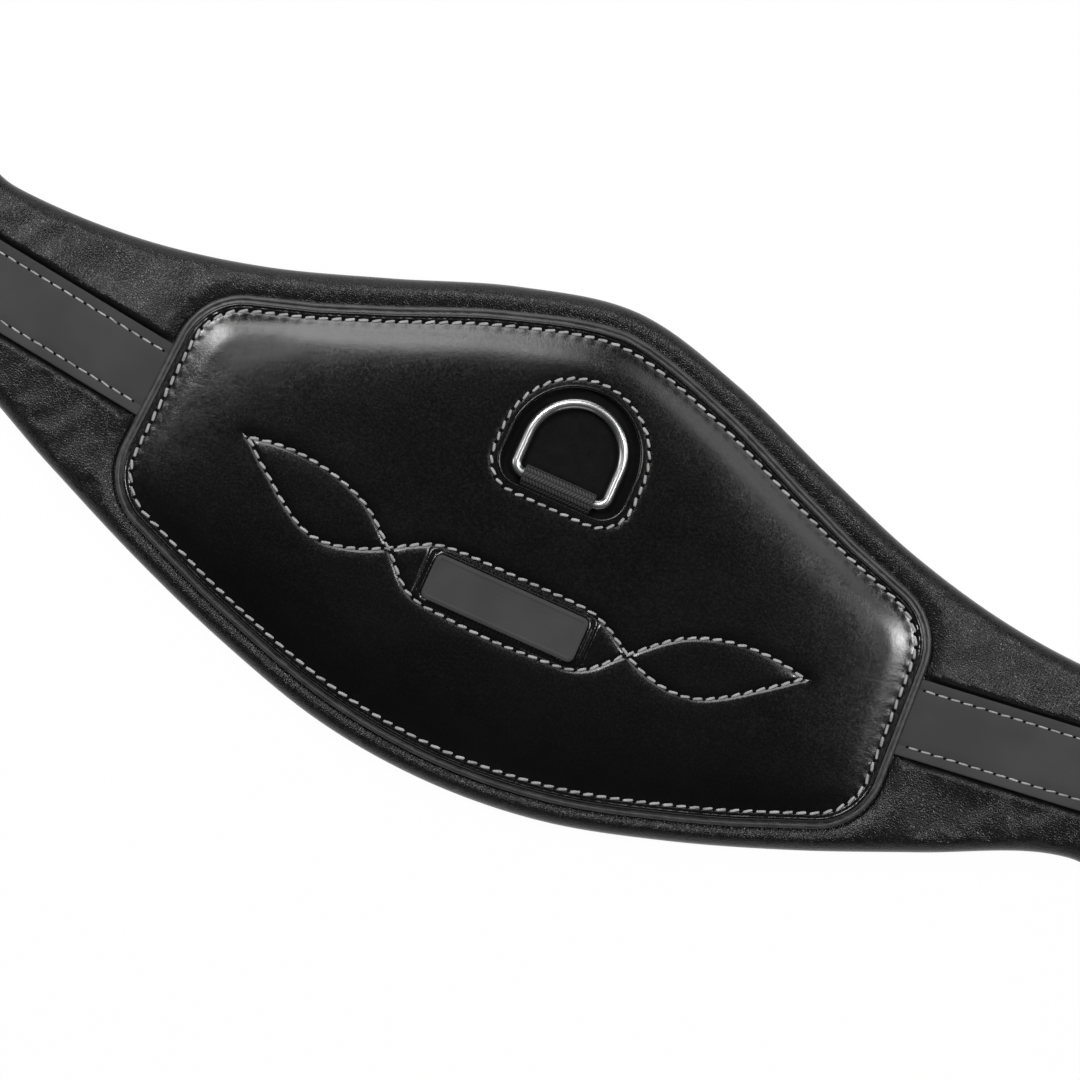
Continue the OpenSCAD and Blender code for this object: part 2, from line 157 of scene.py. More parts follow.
def inset(p, d, closed=True):
    """Path moved to its left by d, which is inwards on an anticlockwise outline."""
    t = tangents(p, closed)
    return p + np.stack([-t[:, 1], t[:, 0]], 1) * d


def on_arm(s, t, side=1):
    """Point s along an arm from the plate's end and t across it, in the frame of the girth."""
    s, t = np.broadcast_arrays(np.asarray(s, float), np.asarray(t, float))
    x = BODY_HALF + s * np.cos(RISE) - t * np.sin(RISE)
    return np.stack([side * x, LIFT + SHIFT + s * np.sin(RISE) + t * np.cos(RISE)], -1)


def arm_place(p, side=1):
    """The reverse: how far along and across the nearer arm each point lies."""
    x, y = np.abs(p[:, 0]) - BODY_HALF, p[:, 1] - LIFT - SHIFT
    return x * np.cos(RISE) + y * np.sin(RISE), -x * np.sin(RISE) + y * np.cos(RISE)


print("plate leather starts at", PLATE_Z, "mm and its crown reaches", CROWN_Z, "mm")

# %% [markdown]
# ### The three outlines
# The padding is a long strip that widens to the middle and again at its two ends, the plate repeats its
# middle a little further in, and the window is a D with soft corners. Each could be one free curve. Here
# the long edges are sums instead, an arm of even width plus a share of the widening at each station, so
# that the plate follows the padding when a size changes.
# %% The outlines of the padding, the plate and the window
FRONT_SHARE = np.array([1, 0.815, 0.54, 0.283, 0.101, 0.008, 0, 0, 0])
REAR_SHARE = np.array([1, 1.038, 0.882, 0.627, 0.302, -0.034, 0, 0, 0])
arm_line = np.arange(9) * STATION * np.tan(RISE)
arm_half = ARM_HALF / np.cos(RISE)
front_edge = arm_line + arm_half + (FRONT - arm_half) * FRONT_SHARE + SHIFT
rear_edge = arm_line - arm_half - (REAR - arm_half) * REAR_SHARE + SHIFT


def smooth(x, a, b):
    """0 before a, 1 after b, and an even curve between: 3 t^2 - 2 t^3."""
    t = np.clip((x - a) / (b - a), 0, 1)
    return t * t * (3 - 2 * t)


def flare(x):
    """How much each edge moves out where the arm widens to the padded end."""
    return (END_HALF - ARM_HALF) / np.cos(RISE) * smooth(x, BODY_HALF + 75, BODY_HALF + 119)


def mirrored(right):
    """A right half that runs from the rear to the front, closed by its mirror image."""
    return np.concatenate([right, (right * [-1, 1])[::-1][1:-1]])


def pad_line():
    """Rear edge outwards, the two corners of the padded end, front edge back to the middle."""
    x = np.linspace(0, 7 * STATION, 400)
    rear = np.stack([x, station_curve(rear_edge, x) - flare(x)], 1)
    front = np.stack([x, station_curve(front_edge, x) + flare(x)], 1)
    a, b = on_arm(ARM_LENGTH, -END_HALF), on_arm(ARM_LENGTH, END_HALF)
    ends = [corner(rear[-1], a, b, END_CORNER), corner(a, b, front[-1], END_CORNER)]
    return mirrored(np.concatenate([rear, *ends, front[::-1]]))


PLATE_HALF, LEAN, PLATE_CORNER = 157.0, 4.5, 27.0


def plate_front(x):
    """Front edge of the plate at x above zero: the padding's edge moved in by the width of its rim."""
    return station_curve(front_edge, x) - 8.5 - 0.032 * x


def plate_rear(x):
    """Rear edge of the plate, in the same way."""
    return station_curve(rear_edge, x) + 7.4 + 0.009 * x


def plate_line():
    """The plate's two long edges, joined by leaning ends with rounded corners."""
    x = np.linspace(0, PLATE_HALF - 1.7 * PLATE_CORNER, 300)
    low, high = np.stack([x, plate_rear(x)], 1), np.stack([x, plate_front(x)], 1)
    a = np.array([PLATE_HALF, plate_rear(np.array(PLATE_HALF))])
    b = np.array([PLATE_HALF - LEAN, plate_front(np.array(PLATE_HALF - LEAN))])
    return mirrored(np.concatenate([low, corner(low[-1], a, b, PLATE_CORNER),
                                    corner(a, b, high[-1], PLATE_CORNER), high[::-1]]))


WINDOW_Y, WINDOW_R, WINDOW_TAIL, WINDOW_CORNER = 57.5 + SHIFT, 25.7, 19.5, 10.0


def window_line(grow=0.0):
    """Half circle at the front, straight sides, two rounded corners at the rear."""
    turn = np.linspace(0, np.pi, 80)
    arc = np.stack([np.cos(turn), np.sin(turn)], 1) * WINDOW_R + [0, WINDOW_Y]
    a, b = [-WINDOW_R, WINDOW_Y - WINDOW_TAIL], [WINDOW_R, WINDOW_Y - WINDOW_TAIL]
    line = np.concatenate([arc, corner(arc[-1], a, b, WINDOW_CORNER), corner(a, b, arc[0], WINDOW_CORNER)])
    return inset(walk(line, 400), -grow) if grow else walk(line, 400)


PAD_LINE, PLATE_LINE, WINDOW_LINE = walk(pad_line(), 1400), walk(plate_line(), 1200), window_line()
print("outline lengths in mm:", [round(length_along(p)[-1]) for p in (PAD_LINE, PLATE_LINE, WINDOW_LINE)])

# %% [markdown]
# ## Leather as a height over a plan
# Nearly every piece here is a flat cut piece of leather, rubber or webbing that is pressed, padded or
# sewn down. So one tool makes them all. It scatters points over the piece's plan, with rows that follow
# its edge and its seams, joins them with triangles of an even shape, and then asks two functions for the
# height of the top and of the underside at each point. A stitch channel or a rounded edge is then only a
# term in a sum. A dense grid pushed up and down would do as well, but rows along the seams put the points
# where the detail is and leave the rest light.
# %% Distance to a line, and the plan of a piece
def nearest(p, line, closed=True):
    """Signed distance to a line, above zero on its left, and how far along it the nearest place lies.

    The nearest corner of the line comes from squared distances, p.p + a.a - 2 p.a. The two short pieces
    that meet there each give a foot: the projection of the point, held between the piece's ends."""
    q = np.concatenate([line, line[:1]]) if closed else line
    a, d = q[:-1], np.diff(q, axis=0)
    size, n = np.maximum((d * d).sum(1), 1e-12), len(q) - 1
    s = length_along(line, closed)
    own = (a * a).sum(1)
    k = np.concatenate([(own - 2 * p[i:i + 4000] @ a.T).argmin(1) for i in range(0, len(p), 4000)])
    best = None
    for m in ((k - 1) % n if closed else np.maximum(k - 1, 0), k):
        r = p - a[m]
        t = np.clip((r * d[m]).sum(1) / size[m], 0, 1)
        off = r - t[:, None] * d[m]
        turn = d[m, 0] * r[:, 1] - d[m, 1] * r[:, 0]
        along = s[m] + t * np.sqrt(size[m])
        found = np.stack([np.linalg.norm(off, axis=1), np.where(turn < 0, -1, 1), along])
        best = found if best is None else np.where(found[0] < best[0], found, best)
    return best[0] * best[1], best[2]


def plan(outline, steps, spacing, fine, hole=None, hole_steps=(), seams=(), seam_steps=()):
    """Points and triangles over the area inside an outline: rows at the given steps in from the edge,
    out from a hole and to both sides of each seam, then a honeycomb with the wider spacing."""
    ring = walk(outline, int(length_along(outline)[-1] / fine))
    rows, coarse = [ring], walk(outline, int(length_along(outline)[-1] / 1.5))
    low, high = outline.min(0), outline.max(0)
    nx, ny = (np.ceil((high - low) / [spacing, spacing * 0.866]) + 1).astype(int)
    j, i = np.meshgrid(np.arange(ny), np.arange(nx), indexing="ij")
    comb = np.stack([low[0] + (i + 0.5 * (j % 2)) * spacing, low[1] + j * spacing * 0.866], -1).reshape(-1, 2)
    comb = comb[nearest(comb, coarse)[0] > max(steps) + 0.6 * spacing]
    for step in steps:
        row = inset(ring, step)
        rows.append(row[nearest(row, coarse)[0] > step - 0.15])
    if hole is not None:
        edge = walk(hole, int(length_along(hole)[-1] / fine))
        rows = [np.concatenate([ring, edge])] + rows[1:] + [inset(edge, -step) for step in hole_steps]
        comb = comb[nearest(comb, hole)[0] < -max(hole_steps) - 0.6 * spacing]
    for seam, closed in seams:
        for step in seam_steps:
            side = walk(seam, int(length_along(seam, closed)[-1] / fine / 1.4), closed)
            rows.append(inset(side, step, closed))
        comb = comb[np.abs(nearest(comb, seam, closed)[0]) > max(seam_steps) + 0.6 * spacing]
    extra = np.concatenate(rows[1:] + [comb])
    key = np.unique(np.round(extra / 0.28).astype(int), axis=0, return_index=True)[1]
    extra = extra[np.sort(key)]
    extra = extra[nearest(extra, coarse)[0] > 0.05]
    points = np.concatenate([rows[0], extra])
    n, m = len(ring), len(rows[0]) - len(ring)
    edges = [(k, (k + 1) % n) for k in range(n)] + [(n + k, n + (k + 1) % m) for k in range(m)]
    verts, _, tris, _, _, _ = delaunay_2d_cdt(points.tolist(), edges, [], 0, 1e-7)
    points, tris = np.array([v[:] for v in verts]), np.array(tris)
    middle = points[tris].mean(1)
    keep = nearest(middle, coarse if hole is None and n > 900 else ring)[0] > 0
    if hole is not None:
        keep &= nearest(middle, edge)[0] < 0
    rings = [np.arange(n)] + ([np.arange(n + m - 1, n - 1, -1)] if m else [])
    return points, tris[keep], rings


middle_in = nearest(np.zeros((1, 2)), PLATE_LINE)[0][0]
print("from the middle to the plate's nearest edge:", round(float(middle_in), 1), "mm")


# %% [markdown]
# ### From a plan to a closed skin
# A cut piece of leather has a face, a back and a cut edge. The Solidify modifier could add the back and
# the edge, but at one thickness only. Two heights for every point let the edge round over while the back
# lies flat on what is below it.
# %% Skin over a plan, and the terms that heights are summed from
def slab(laid, top, bottom):
    """Closed skin over a plan: the top and bottom heights of every point, and walls round each edge."""
    points, tris, rings = laid
    n = len(points)
    skin = np.concatenate([np.column_stack([points, top]), np.column_stack([points, bottom])])
    walls = [np.stack([r, n + r, n + np.roll(r, -1), np.roll(r, -1)], 1) for r in rings]
    a, b, c = (points[tris[:, k]] for k in range(3))
    turn = np.cross(b - a, c - a)
    tris = np.where((turn > 0)[:, None], tris, tris[:, ::-1])
    return skin, [tris, tris[:, ::-1] + n] + walls


def quarter_round(d, r):
    """Height lost near an edge that is rounded over by r: a quarter of a circle as d goes from 0 to r."""
    u = np.clip(d / r, 0, 1)
    return r * (1 - np.sqrt(np.clip(1 - (1 - u) ** 2, 0, 1)))


def dip(x, at, width):
    """A bell of height 1 at a place, with this half width."""
    return np.exp(-((x - at) / width) ** 2)


def waves(p, size, seed, count=9):
    """Slow uneven swell between about -1 and 1: a sum of sine waves that run in scattered directions."""
    rng = np.random.default_rng(seed)
    turn, phase = rng.uniform(0, 2 * np.pi, (2, count))
    reach = 2 * np.pi / (size * rng.uniform(0.7, 1.6, count))
    along = p @ np.stack([np.cos(turn), np.sin(turn)]) * reach + phase
    return np.sin(along).sum(1) / np.sqrt(count)


print("a bell one width out is", round(float(dip(1.0, 0.0, 1.0)), 3), "high")


# %% [markdown]
# ### Into Blender
# A mesh could be filled point by point with bmesh, which takes long for a hundred thousand points. Whole
# arrays handed over with foreach_set take a moment. The volume inside the faces tells whether they point
# outwards, and each piece then gets its finish, its slot and the body that carries it.
# %% Meshes from arrays, and pieces on their bodies
def add_mesh(name, points, groups):
    """Mesh from points in mm and arrays of faces. A closed skin whose volume comes out below zero is
    inside out, so its faces are turned over."""
    points = np.asarray(points, float) * MM
    groups = [np.asarray(g, np.int64) for g in groups if len(g)]
    tris = np.concatenate([g[:, [0, k, k + 1]] for g in groups for k in range(1, g.shape[1] - 1)])
    a, b, c = (points[tris[:, k]] - points.mean(0) for k in range(3))
    volume = np.einsum("ij,ij->", a, np.cross(b, c)) / 6
    if volume < 0:
        groups = [g[:, ::-1] for g in groups]
    mesh = bpy.data.meshes.new(name)
    corners = np.concatenate([g.ravel() for g in groups])
    sizes = np.concatenate([np.full(len(g), g.shape[1]) for g in groups])
    mesh.vertices.add(len(points))
    mesh.vertices.foreach_set("co", points.astype(np.float32).ravel())
    mesh.loops.add(len(corners))
    mesh.loops.foreach_set("vertex_index", corners.astype(np.int32))
    mesh.polygons.add(len(sizes))
    mesh.polygons.foreach_set("loop_start", np.concatenate([[0], np.cumsum(sizes)[:-1]]).astype(np.int32))
    mesh.polygons.foreach_set("use_smooth", np.ones(len(sizes), bool))
    mesh.update(calc_edges=True)
    mesh.validate()
    return mesh, abs(volume) * 1e9


def add_piece(name, shape, body, finish, stands_for=(), sharp=None):
    """Object from a shape, on a body, in a finish. Edges that turn by more than sharp degrees stay crisp."""
    mesh, volume = add_mesh(name, *shape)
    thing = bpy.data.objects.new(name, mesh)
    bpy.context.collection.objects.link(thing)
    thing.data.materials.append(finish)
    if sharp:
        mesh.set_sharp_from_angle(angle=np.radians(sharp))
    if stands_for:
        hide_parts(*stands_for)
    if body:
        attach(thing, body)
    print(f"{name}: {len(mesh.vertices)} points, {volume:.0f} mm3")
    return thing


# %% [markdown]
# ### Wires, loops and folds
# The ring, the buckles and the folded webbing are each one section carried along a path. A Blender curve
# with a bevel would do for round wire, but not for a tongue that tapers or for ribs that lean, so here
# the section travels as an array, one ring of points after another.
# %% Skins over grids, and sections carried along a path
def quads(rows, cols, wrap=False):
    """Four-cornered faces between the points of a grid whose columns go round, and its rows too if wrap."""
    i, j = np.meshgrid(np.arange(rows if wrap else rows - 1), np.arange(cols), indexing="ij")
    i2, j2 = (i + 1) % rows, (j + 1) % cols
    return np.stack([i * cols + j, i * cols + j2, i2 * cols + j2, i2 * cols + j], -1).reshape(-1, 4)


def skin(grid, ring=False):
    """Closed skin over a grid of points: a fan over each end, or round again to the first row."""
    rows, cols, _ = grid.shape
    if ring:
        return grid.reshape(-1, 3), [quads(rows, cols, True)]
    j, n, last = np.arange(cols), rows * cols, (rows - 1) * cols
    k = (j + 1) % cols
    points = np.concatenate([grid.reshape(-1, 3), grid[:1].mean(1), grid[-1:].mean(1)])
    fans = [np.stack([k, j, j * 0 + n], 1), np.stack([last + j, last + k, j * 0 + n + 1], 1)]
    return points, [quads(rows, cols)] + fans


def together(*shapes):
    """Several skins as one."""
    points, groups, n = [], [], 0
    for p, faces in shapes:
        points.append(p)
        groups += [f + n for f in faces]
        n += len(p)
    return np.concatenate(points), groups


def sweep(path, section, up=(0, 0, 1), ring=False):
    """Section carried along a path: its first number goes to the side, its second upwards. A section may
    be one outline, or one for each place on the path."""
    t = unit(np.roll(path, -1, 0) - np.roll(path, 1, 0)) if ring else unit(np.gradient(path, axis=0))
    side = unit(np.cross(np.broadcast_to(up, path.shape), t))
    high = np.cross(t, side)
    section = np.broadcast_to(section, (len(path),) + np.shape(section)[-2:])
    return skin(path[:, None] + side[:, None] * section[..., :1] + high[:, None] * section[..., 1:], ring)


def circle(r, n=20):
    """Outline of a round wire."""
    turn = np.arange(n) / n * 2 * np.pi
    return np.stack([np.cos(turn), np.sin(turn)], 1) * r


print("faces of a round wire of 10 rings:", sum(map(len, skin(np.zeros((10, 20, 3)))[1])))

# %% [markdown]
# ## Finishes
# A small class wraps a socket so that shader maths reads as Python sums, and every other node comes from
# one method. Each finish then says what the real surface has: pores and pebbles in soft leather, a wet
# gloss with fine pores on the plate, fibres in the thread, ribs in the webbing. Painted image textures
# could do the same, but patterns that Blender works out never repeat or end at an edge, and they are set
# in millimetres.
# %% Shader maths as Python sums
class Wire:
    """A node's output. The operators + - * ** on it, either way round, add Math nodes to its tree."""

    def __init__(self, finish, socket):
        self.finish, self.socket = finish, socket

    def sum(self, operation, *values):
        """A Math node on these values."""
        return self.finish.node("Math", {"operation": operation}, values)

    def apply(self, operation, *others):
        """The same, with this wire first."""
        return self.sum(operation, self, *others)

    def beside(self, name):
        """Another output of the same node."""
        return Wire(self.finish, self.socket.node.outputs[name])

    def __add__(self, other): return self.sum("ADD", self, other)
    def __radd__(self, other): return self.sum("ADD", other, self)
    def __sub__(self, other): return self.sum("SUBTRACT", self, other)
    def __rsub__(self, other): return self.sum("SUBTRACT", other, self)
    def __mul__(self, other): return self.sum("MULTIPLY", self, other)
    def __rmul__(self, other): return self.sum("MULTIPLY", other, self)
    def __pow__(self, other): return self.sum("POWER", self, other)
    def __rpow__(self, other): return self.sum("POWER", other, self)

    def between(self, low, high):
        """0 at low, 1 at high, with an even curve between."""
        return self.finish.node("MapRange", {"interpolation_type": "SMOOTHSTEP"},
                                {"Value": self, "From Min": low, "From Max": high})


print("operators on a wire:", [word for word in vars(Wire) if word.startswith("__r")])


# %% [markdown]
# ### One material at a time
# A material could be wired node by node in the editor. Written as one class, every finish starts from
# millimetres of the object's own space, so a pebble is as big on a yoke as on the padding.
# %% A finish and its nodes
class Finish:
    """A material and its node tree, with millimetres of the object's own space to draw patterns in."""

    def __init__(self, name):
        self.material = bpy.data.materials.new(name)
        self.material.use_nodes = True
        self.tree = self.material.node_tree
        self.tree.nodes.clear()
        place = self.node("TexCoord", out="Object")
        self.mm = self.node("VectorMath", {"operation": "SCALE"}, {"Vector": place, "Scale": 1 / MM})

    def node(self, kind, settings=None, sockets=(), out=0):
        """A shader node: its settings first, then a value or a wire for each named or counted socket. It
        gives back the wire of one output, or none for a node that has no output."""
        made = self.tree.nodes.new("ShaderNode" + kind)
        for key, value in (settings or {}).items():
            setattr(made, key, value)
        for key, value in (sockets.items() if isinstance(sockets, dict) else enumerate(sockets)):
            if isinstance(value, Wire):
                self.tree.links.new(value.socket, made.inputs[key])
            else:
                made.inputs[key].default_value = value
        return None if out is None else Wire(self, made.outputs[out])

    def noise(self, size, detail=3.0, rough=0.55, at=None):
        """Cloudy pattern from 0 to 1 whose patches are about size mm across."""
        return self.node("TexNoise", None, {"Vector": at or self.mm, "Scale": 1 / size, "Detail": detail,
                                            "Roughness": rough})

    def cells(self, size, feature="F1"):
        """Pebbles about size mm across: distance to the nearest seed, or to the nearest border."""
        return self.node("TexVoronoi", {"feature": feature}, {"Vector": self.mm, "Scale": 1 / size})

    def turned(self, turn, scale=(1, 1, 1)):
        """The object's space turned about Z by an angle and stretched, for a pattern with a direction."""
        return self.node("Mapping", None, {"Vector": self.mm, "Rotation": (0, 0, turn), "Scale": scale})

    def mix(self, a, b, share):
        """Colour between two colours or wires."""
        return self.node("Mix", {"data_type": "RGBA"}, {0: share, 6: a, 7: b}, out=2)

    def bump(self, height, depth):
        """Normal for a height from 0 to 1 that is depth mm deep."""
        return self.node("Bump", None, {"Height": height, "Distance": depth * MM})

    def show(self, surface):
        """The material, with this shader as its surface."""
        self.node("OutputMaterial", None, {"Surface": surface}, out=None)
        return self.material

    def done(self, **sockets):
        """Principled surface with these sockets; underscores stand for the spaces in their names."""
        named = {key.replace("_", " "): value for key, value in sockets.items()}
        return self.show(self.node("BsdfPrincipled", None, named))


def grey(value, warm=0.0):
    """Linear grey from a display value of 0 to 255, a little warm or cold."""
    v = value / 255
    linear = v / 12.92 if v <= 0.04045 else ((v + 0.055) / 1.055) ** 2.4
    return (linear * (1 + warm), linear, linear * (1 - warm), 1)


print("mid grey in linear light:", round(grey(128)[1], 3))


# %% [markdown]
# ### Leathers
# The padding is a soft nappa: small pebbles with creases between them that only show where light grazes.
# The plate is a polished bridle leather, nearly black, with a tight grain that breaks the highlights up a
# little. The cut edges are dyed and burnished. Modelled pebbles would take millions of faces. They are
# far smaller than a stitch, so a bump pattern catches the light in the same way, and only what is larger
# is modelled.
# %% Soft leather, plate leather and burnished edges
def soft_leather():
    """Dark grey, a little worn in large patches, and darkened in the creases between the pebbles as painted
    shade. Height = 0.55 of the pebbles, less 0.12 of finer cells, plus 0.4 of long creases."""
    f = Finish("soft_nappa")
    swirl = f.noise(9, 2)
    pebbles = f.cells(0.95, "DISTANCE_TO_EDGE").between(0.0, 0.3)
    small = f.cells(0.55, "F1")
    crease = f.noise(3.2, 5, 0.65, f.turned(0.5, (1, 3.2, 1)))
    height = pebbles * 0.55 + small * -0.12 + crease * 0.4
    worn = f.noise(42, 3)
    base = f.mix(grey(15), grey(22), worn.between(0.3, 0.72))
    # Painted shade: the creases between the pebbles are mixed towards grey(8).
    base = f.mix(grey(8), base, pebbles.between(-0.4, 0.7))
    rough = 0.32 + swirl * 0.08 - pebbles * 0.08
    return f.done(Base_Color=base, Roughness=rough, Specular_IOR_Level=0.36, Normal=f.bump(height, 0.14))


def plate_leather():
    """Nearly black. Height = 0.3 of the pores, 0.5 of the grain and 1.2 of the slow pull of stretched
    leather. The grain also roughens the gloss."""
    f = Finish("polished_leather")
    pores = f.cells(0.42, "F1")
    grain = f.noise(0.9, 4, 0.6)
    pull = f.noise(14, 4, 0.5, f.turned(0.2, (1, 2.2, 1)))
    height = pores * 0.3 + grain * 0.5 + pull * 1.2
    base = f.mix(grey(4), grey(9), f.noise(30, 3).between(0.25, 0.75))
    rough = 0.03 + grain * 0.28 + pull * 0.05
    return f.done(Base_Color=base, Roughness=rough, Specular_IOR_Level=0.5, Normal=f.bump(height, 0.05))


def edge_leather():
    """Waxed streaks that run along the cut, lighter and darker. Height = the streaks and half the grain."""
    f = Finish("burnished_edge")
    streak = f.noise(2.5, 4, 0.6, f.turned(0.0, (0.4, 1, 3)))
    grain = f.noise(0.7, 3)
    base = f.mix(grey(34), grey(58), streak.between(0.3, 0.7))
    return f.done(Base_Color=base, Roughness=0.34 + grain * 0.16, Specular_IOR_Level=0.5,
                  Normal=f.bump(streak + grain * 0.5, 0.05))


SOFT, PLATE, EDGE = soft_leather(), plate_leather(), edge_leather()
print("leathers:", SOFT.name, PLATE.name, EDGE.name)


# %% [markdown]
# ### Thread, rubber, woven parts and steel
# The thread is a pale grey two-ply polyester, the straps and the patch are matt moulded rubber, the ring
# hangs in ribbed webbing, the window is lined with a napped suede, and the ring and the buckles are
# polished stainless steel with faint rubbing marks. Such surfaces differ less in their colour than in how
# rough they are and in what breaks the light up, so each is a few noises of the right size.
# %% Thread, holes, rubber and lining
def thread():
    """Pale grey: the colour is 0.6 of the fibres and 0.4 of a slow change along the seam."""
    f = Finish("thread")
    fibre = f.noise(0.32, 3, 0.7)
    tone = f.noise(6, 2)
    base = f.mix(grey(108, 0.01), grey(178, 0.01), (fibre * 0.6 + tone * 0.4).between(0.3, 0.68))
    return f.done(Base_Color=base, Roughness=0.62, Sheen_Weight=0.15, Normal=f.bump(fibre, 0.08))


def needle_hole_shade():
    """Painted shade for the dark inside of a needle hole: nearly black and dull, with a slight mottle."""
    f = Finish("needle_hole_shade")
    return f.done(Base_Color=f.mix(grey(3), grey(9), f.noise(1.2, 2)), Roughness=0.85, Specular_IOR_Level=0.1)


def rubber():
    """One dark grey with slow clouds in it, and fine specks in its surface."""
    f = Finish("matt_rubber")
    speck = f.noise(0.5, 3, 0.6)
    cloud = f.noise(24, 2)
    base = f.mix(grey(49), grey(57), cloud.between(0.3, 0.7))
    return f.done(Base_Color=base, Roughness=0.6 + speck * 0.12, Specular_IOR_Level=0.3,
                  Normal=f.bump(speck, 0.03))


def suede():
    """The colour is 0.7 of the nap and 0.3 of a slow drift, dull, with a faint sheen."""
    f = Finish("suede_lining")
    nap = f.noise(0.45, 4, 0.75)
    drift = f.noise(5, 3)
    base = f.mix(grey(5), grey(17), (nap * 0.7 + drift * 0.3).between(0.38, 0.66))
    return f.done(Base_Color=base, Roughness=0.9, Specular_IOR_Level=0.15, Sheen_Weight=0.25,
                  Sheen_Roughness=0.4, Normal=f.bump(nap, 0.12))


def webbing():
    """Painted highlight on each rib and painted shade between the ribs: 0.85 of the rib's height, which comes
    with the mesh, and 0.3 of the yarn's own tone."""
    f = Finish("webbing_with_painted_rib_shade")
    yarn = f.noise(0.35, 3, 0.6)
    # The rib attribute paints the top of each rib lighter and the gaps darker: painted highlight and painted
    # shade.
    rib = f.node("Attribute", {"attribute_name": "rib"}, out="Fac")
    base = f.mix(grey(6), grey(66), (rib * 0.85 + yarn * 0.3 - 0.1).between(0.0, 1.0))
    return f.done(Base_Color=base, Roughness=0.62 + yarn * 0.15, Specular_IOR_Level=0.35,
                  Normal=f.bump(yarn, 0.08))


def polished_steel():
    """Pale metal with a slow haze in its colour and fine rubbing marks in its gloss."""
    f = Finish("polished_steel")
    rub = f.noise(1.4, 5, 0.6, f.turned(0.0, (1, 1, 4)))
    haze = f.noise(11, 3)
    base = f.mix(grey(180, -0.005), grey(206, -0.005), haze.between(0.3, 0.7))
    return f.done(Base_Color=base, Metallic=1.0, Roughness=0.24 + rub * 0.1, Normal=f.bump(rub, 0.006))


THREAD, HOLE_SHADE, RUBBER, SUEDE, WEBBING_RIB_SHADE, STEEL = (
    thread(), needle_hole_shade(), rubber(), suede(), webbing(), polished_steel())
print("other finishes:", [m.name for m in (THREAD, HOLE_SHADE, RUBBER, SUEDE, WEBBING_RIB_SHADE, STEEL)])

# %% [markdown]
# ## The padding
# Two soft skins meet at a seam round the edge with foam between them. The upper one is the part that
# shows: it is held down along the plate, the straps and the yokes and swells between them. Its rest shape
# is a height over the plan, and a short cloth simulation with a little air pressure then lets the leather
# settle and crease where it is free. The lining lies on the floor and stays flat. An evenly inflated
# shape would be quicker, but real padding is low wherever it is sewn, so the drawn height says where it
# is held and the cloth only loosens it.
# %% Heights of the padding
SEAM_Z = 0.43 * PAD
STRAP_HALF, STRAP_END, YOKE_AT, YOKE_FRONT = 15.0, 108.0, 100.0, 128.0
HEEL_AT, BAR_Z, PITCH = 168.0, 15.88, 50.0


def to_edge(p, line):
    """Distance to a closed outline: above zero inside it and below zero outside."""
    return nearest(p, line)[0]


COARSE_PAD, COARSE_PLATE = walk(PAD_LINE, 700), walk(PLATE_LINE, 600)
yoke_side = np.array([[YOKE_AT - 14, 17], [YOKE_AT - 1, 20], [YOKE_AT + 10, 41], [YOKE_FRONT, 41]])
YOKE_LINE = walk(rounded(np.concatenate([yoke_side * [1, -1], yoke_side[::-1]]), 4, 12), 400)


def to_strap(p):
    """Distance from the strap on the nearer arm, zero under it."""
    s, t = arm_place(p)
    away = np.maximum(np.abs(t) - STRAP_HALF, 0)
    return np.where(s > -14, np.hypot(away, np.maximum(s - STRAP_END, 0)), 99.0)


def to_yoke(p):
    """Distance from the yoke on the nearer arm, zero under it."""
    s, t = arm_place(p)
    return np.maximum(-nearest(np.stack([s, t], 1), YOKE_LINE)[0], 0)


def padding_height(p, d):
    """Rim that climbs from the seam in a soft curve, then a swell between the edge and whatever is sewn
    on: it stands highest a little way from the plate and the strap, dips with a bell to zero beside them
    and beside the yoke, and fades out under the buckles."""
    rim = np.interp(d, [0, 0.1, 0.4, 1, 2, 3.4, 5, 8], [0.43, 0.54, 0.67, 0.785, 0.88, 0.955, 0.99, 1.0])
    s, t = arm_place(p)
    plate, strap, yoke = -to_edge(p, COARSE_PLATE), to_strap(p), to_yoke(p)
    held = (1 - dip(plate, 0, 4.4)) * (1 - dip(strap, 0, 1.1)) * (1 - dip(yoke, 0, 4.0)) * (plate > 0)
    high = 1.1 + 2.0 * np.exp(-strap / 10) + 1.3 * np.exp(-plate / 12)
    swell = high * held * (1 - np.exp(-d / 9)) * (1 - smooth(s, 112, 130))
    groove = 0.5 * dip(plate, 0, 1.0) + 0.55 * dip(strap, 0.4, 1.0) * (plate > 0)
    return PAD * rim + swell * (1 + 0.1 * waves(p, 34, 5)) - groove * (d > 3) + 0.05 * held * waves(p, 12, 8)


print("seam at", round(SEAM_Z, 2), "mm; yoke outline", len(YOKE_LINE), "points")

# %% [markdown]
# ### The cover's mesh
# The leather turns most sharply round its rim and beside the plate and the straps that press into it.
# Remeshing to even voxels is the usual way for cushions, but it would blur those lines, so rows of points
# follow them and an even honeycomb fills the rest.
# %% The padding's cover, before it swells
PAD_STEPS = [0.1, 0.4, 1.0, 2.0, 3.4, 5.0, 7.2, 9.8]
starts = ((1, -1, 0), (1, 1, STRAP_END), (-1, -1, STRAP_END), (-1, 1, 0))
strap_edges = [(walk(on_arm([a, STRAP_END - a], STRAP_HALF * edge, side), 60, False), False)
               for side, edge, a in starts]
cover_plan = plan(PAD_LINE, PAD_STEPS, 3.3, 2.6, seams=[(COARSE_PLATE, True)] + strap_edges,
                  seam_steps=[-5.6, -4.0, -2.6, -1.3, -0.4, 0.4])
cover_points = cover_plan[0]
cover_edge = to_edge(cover_points, COARSE_PAD)
cover_shape = slab(cover_plan, padding_height(cover_points, cover_edge), np.full(len(cover_points), SEAM_Z))
print("cover plan:", len(cover_points), "points,", len(cover_plan[1]), "triangles")


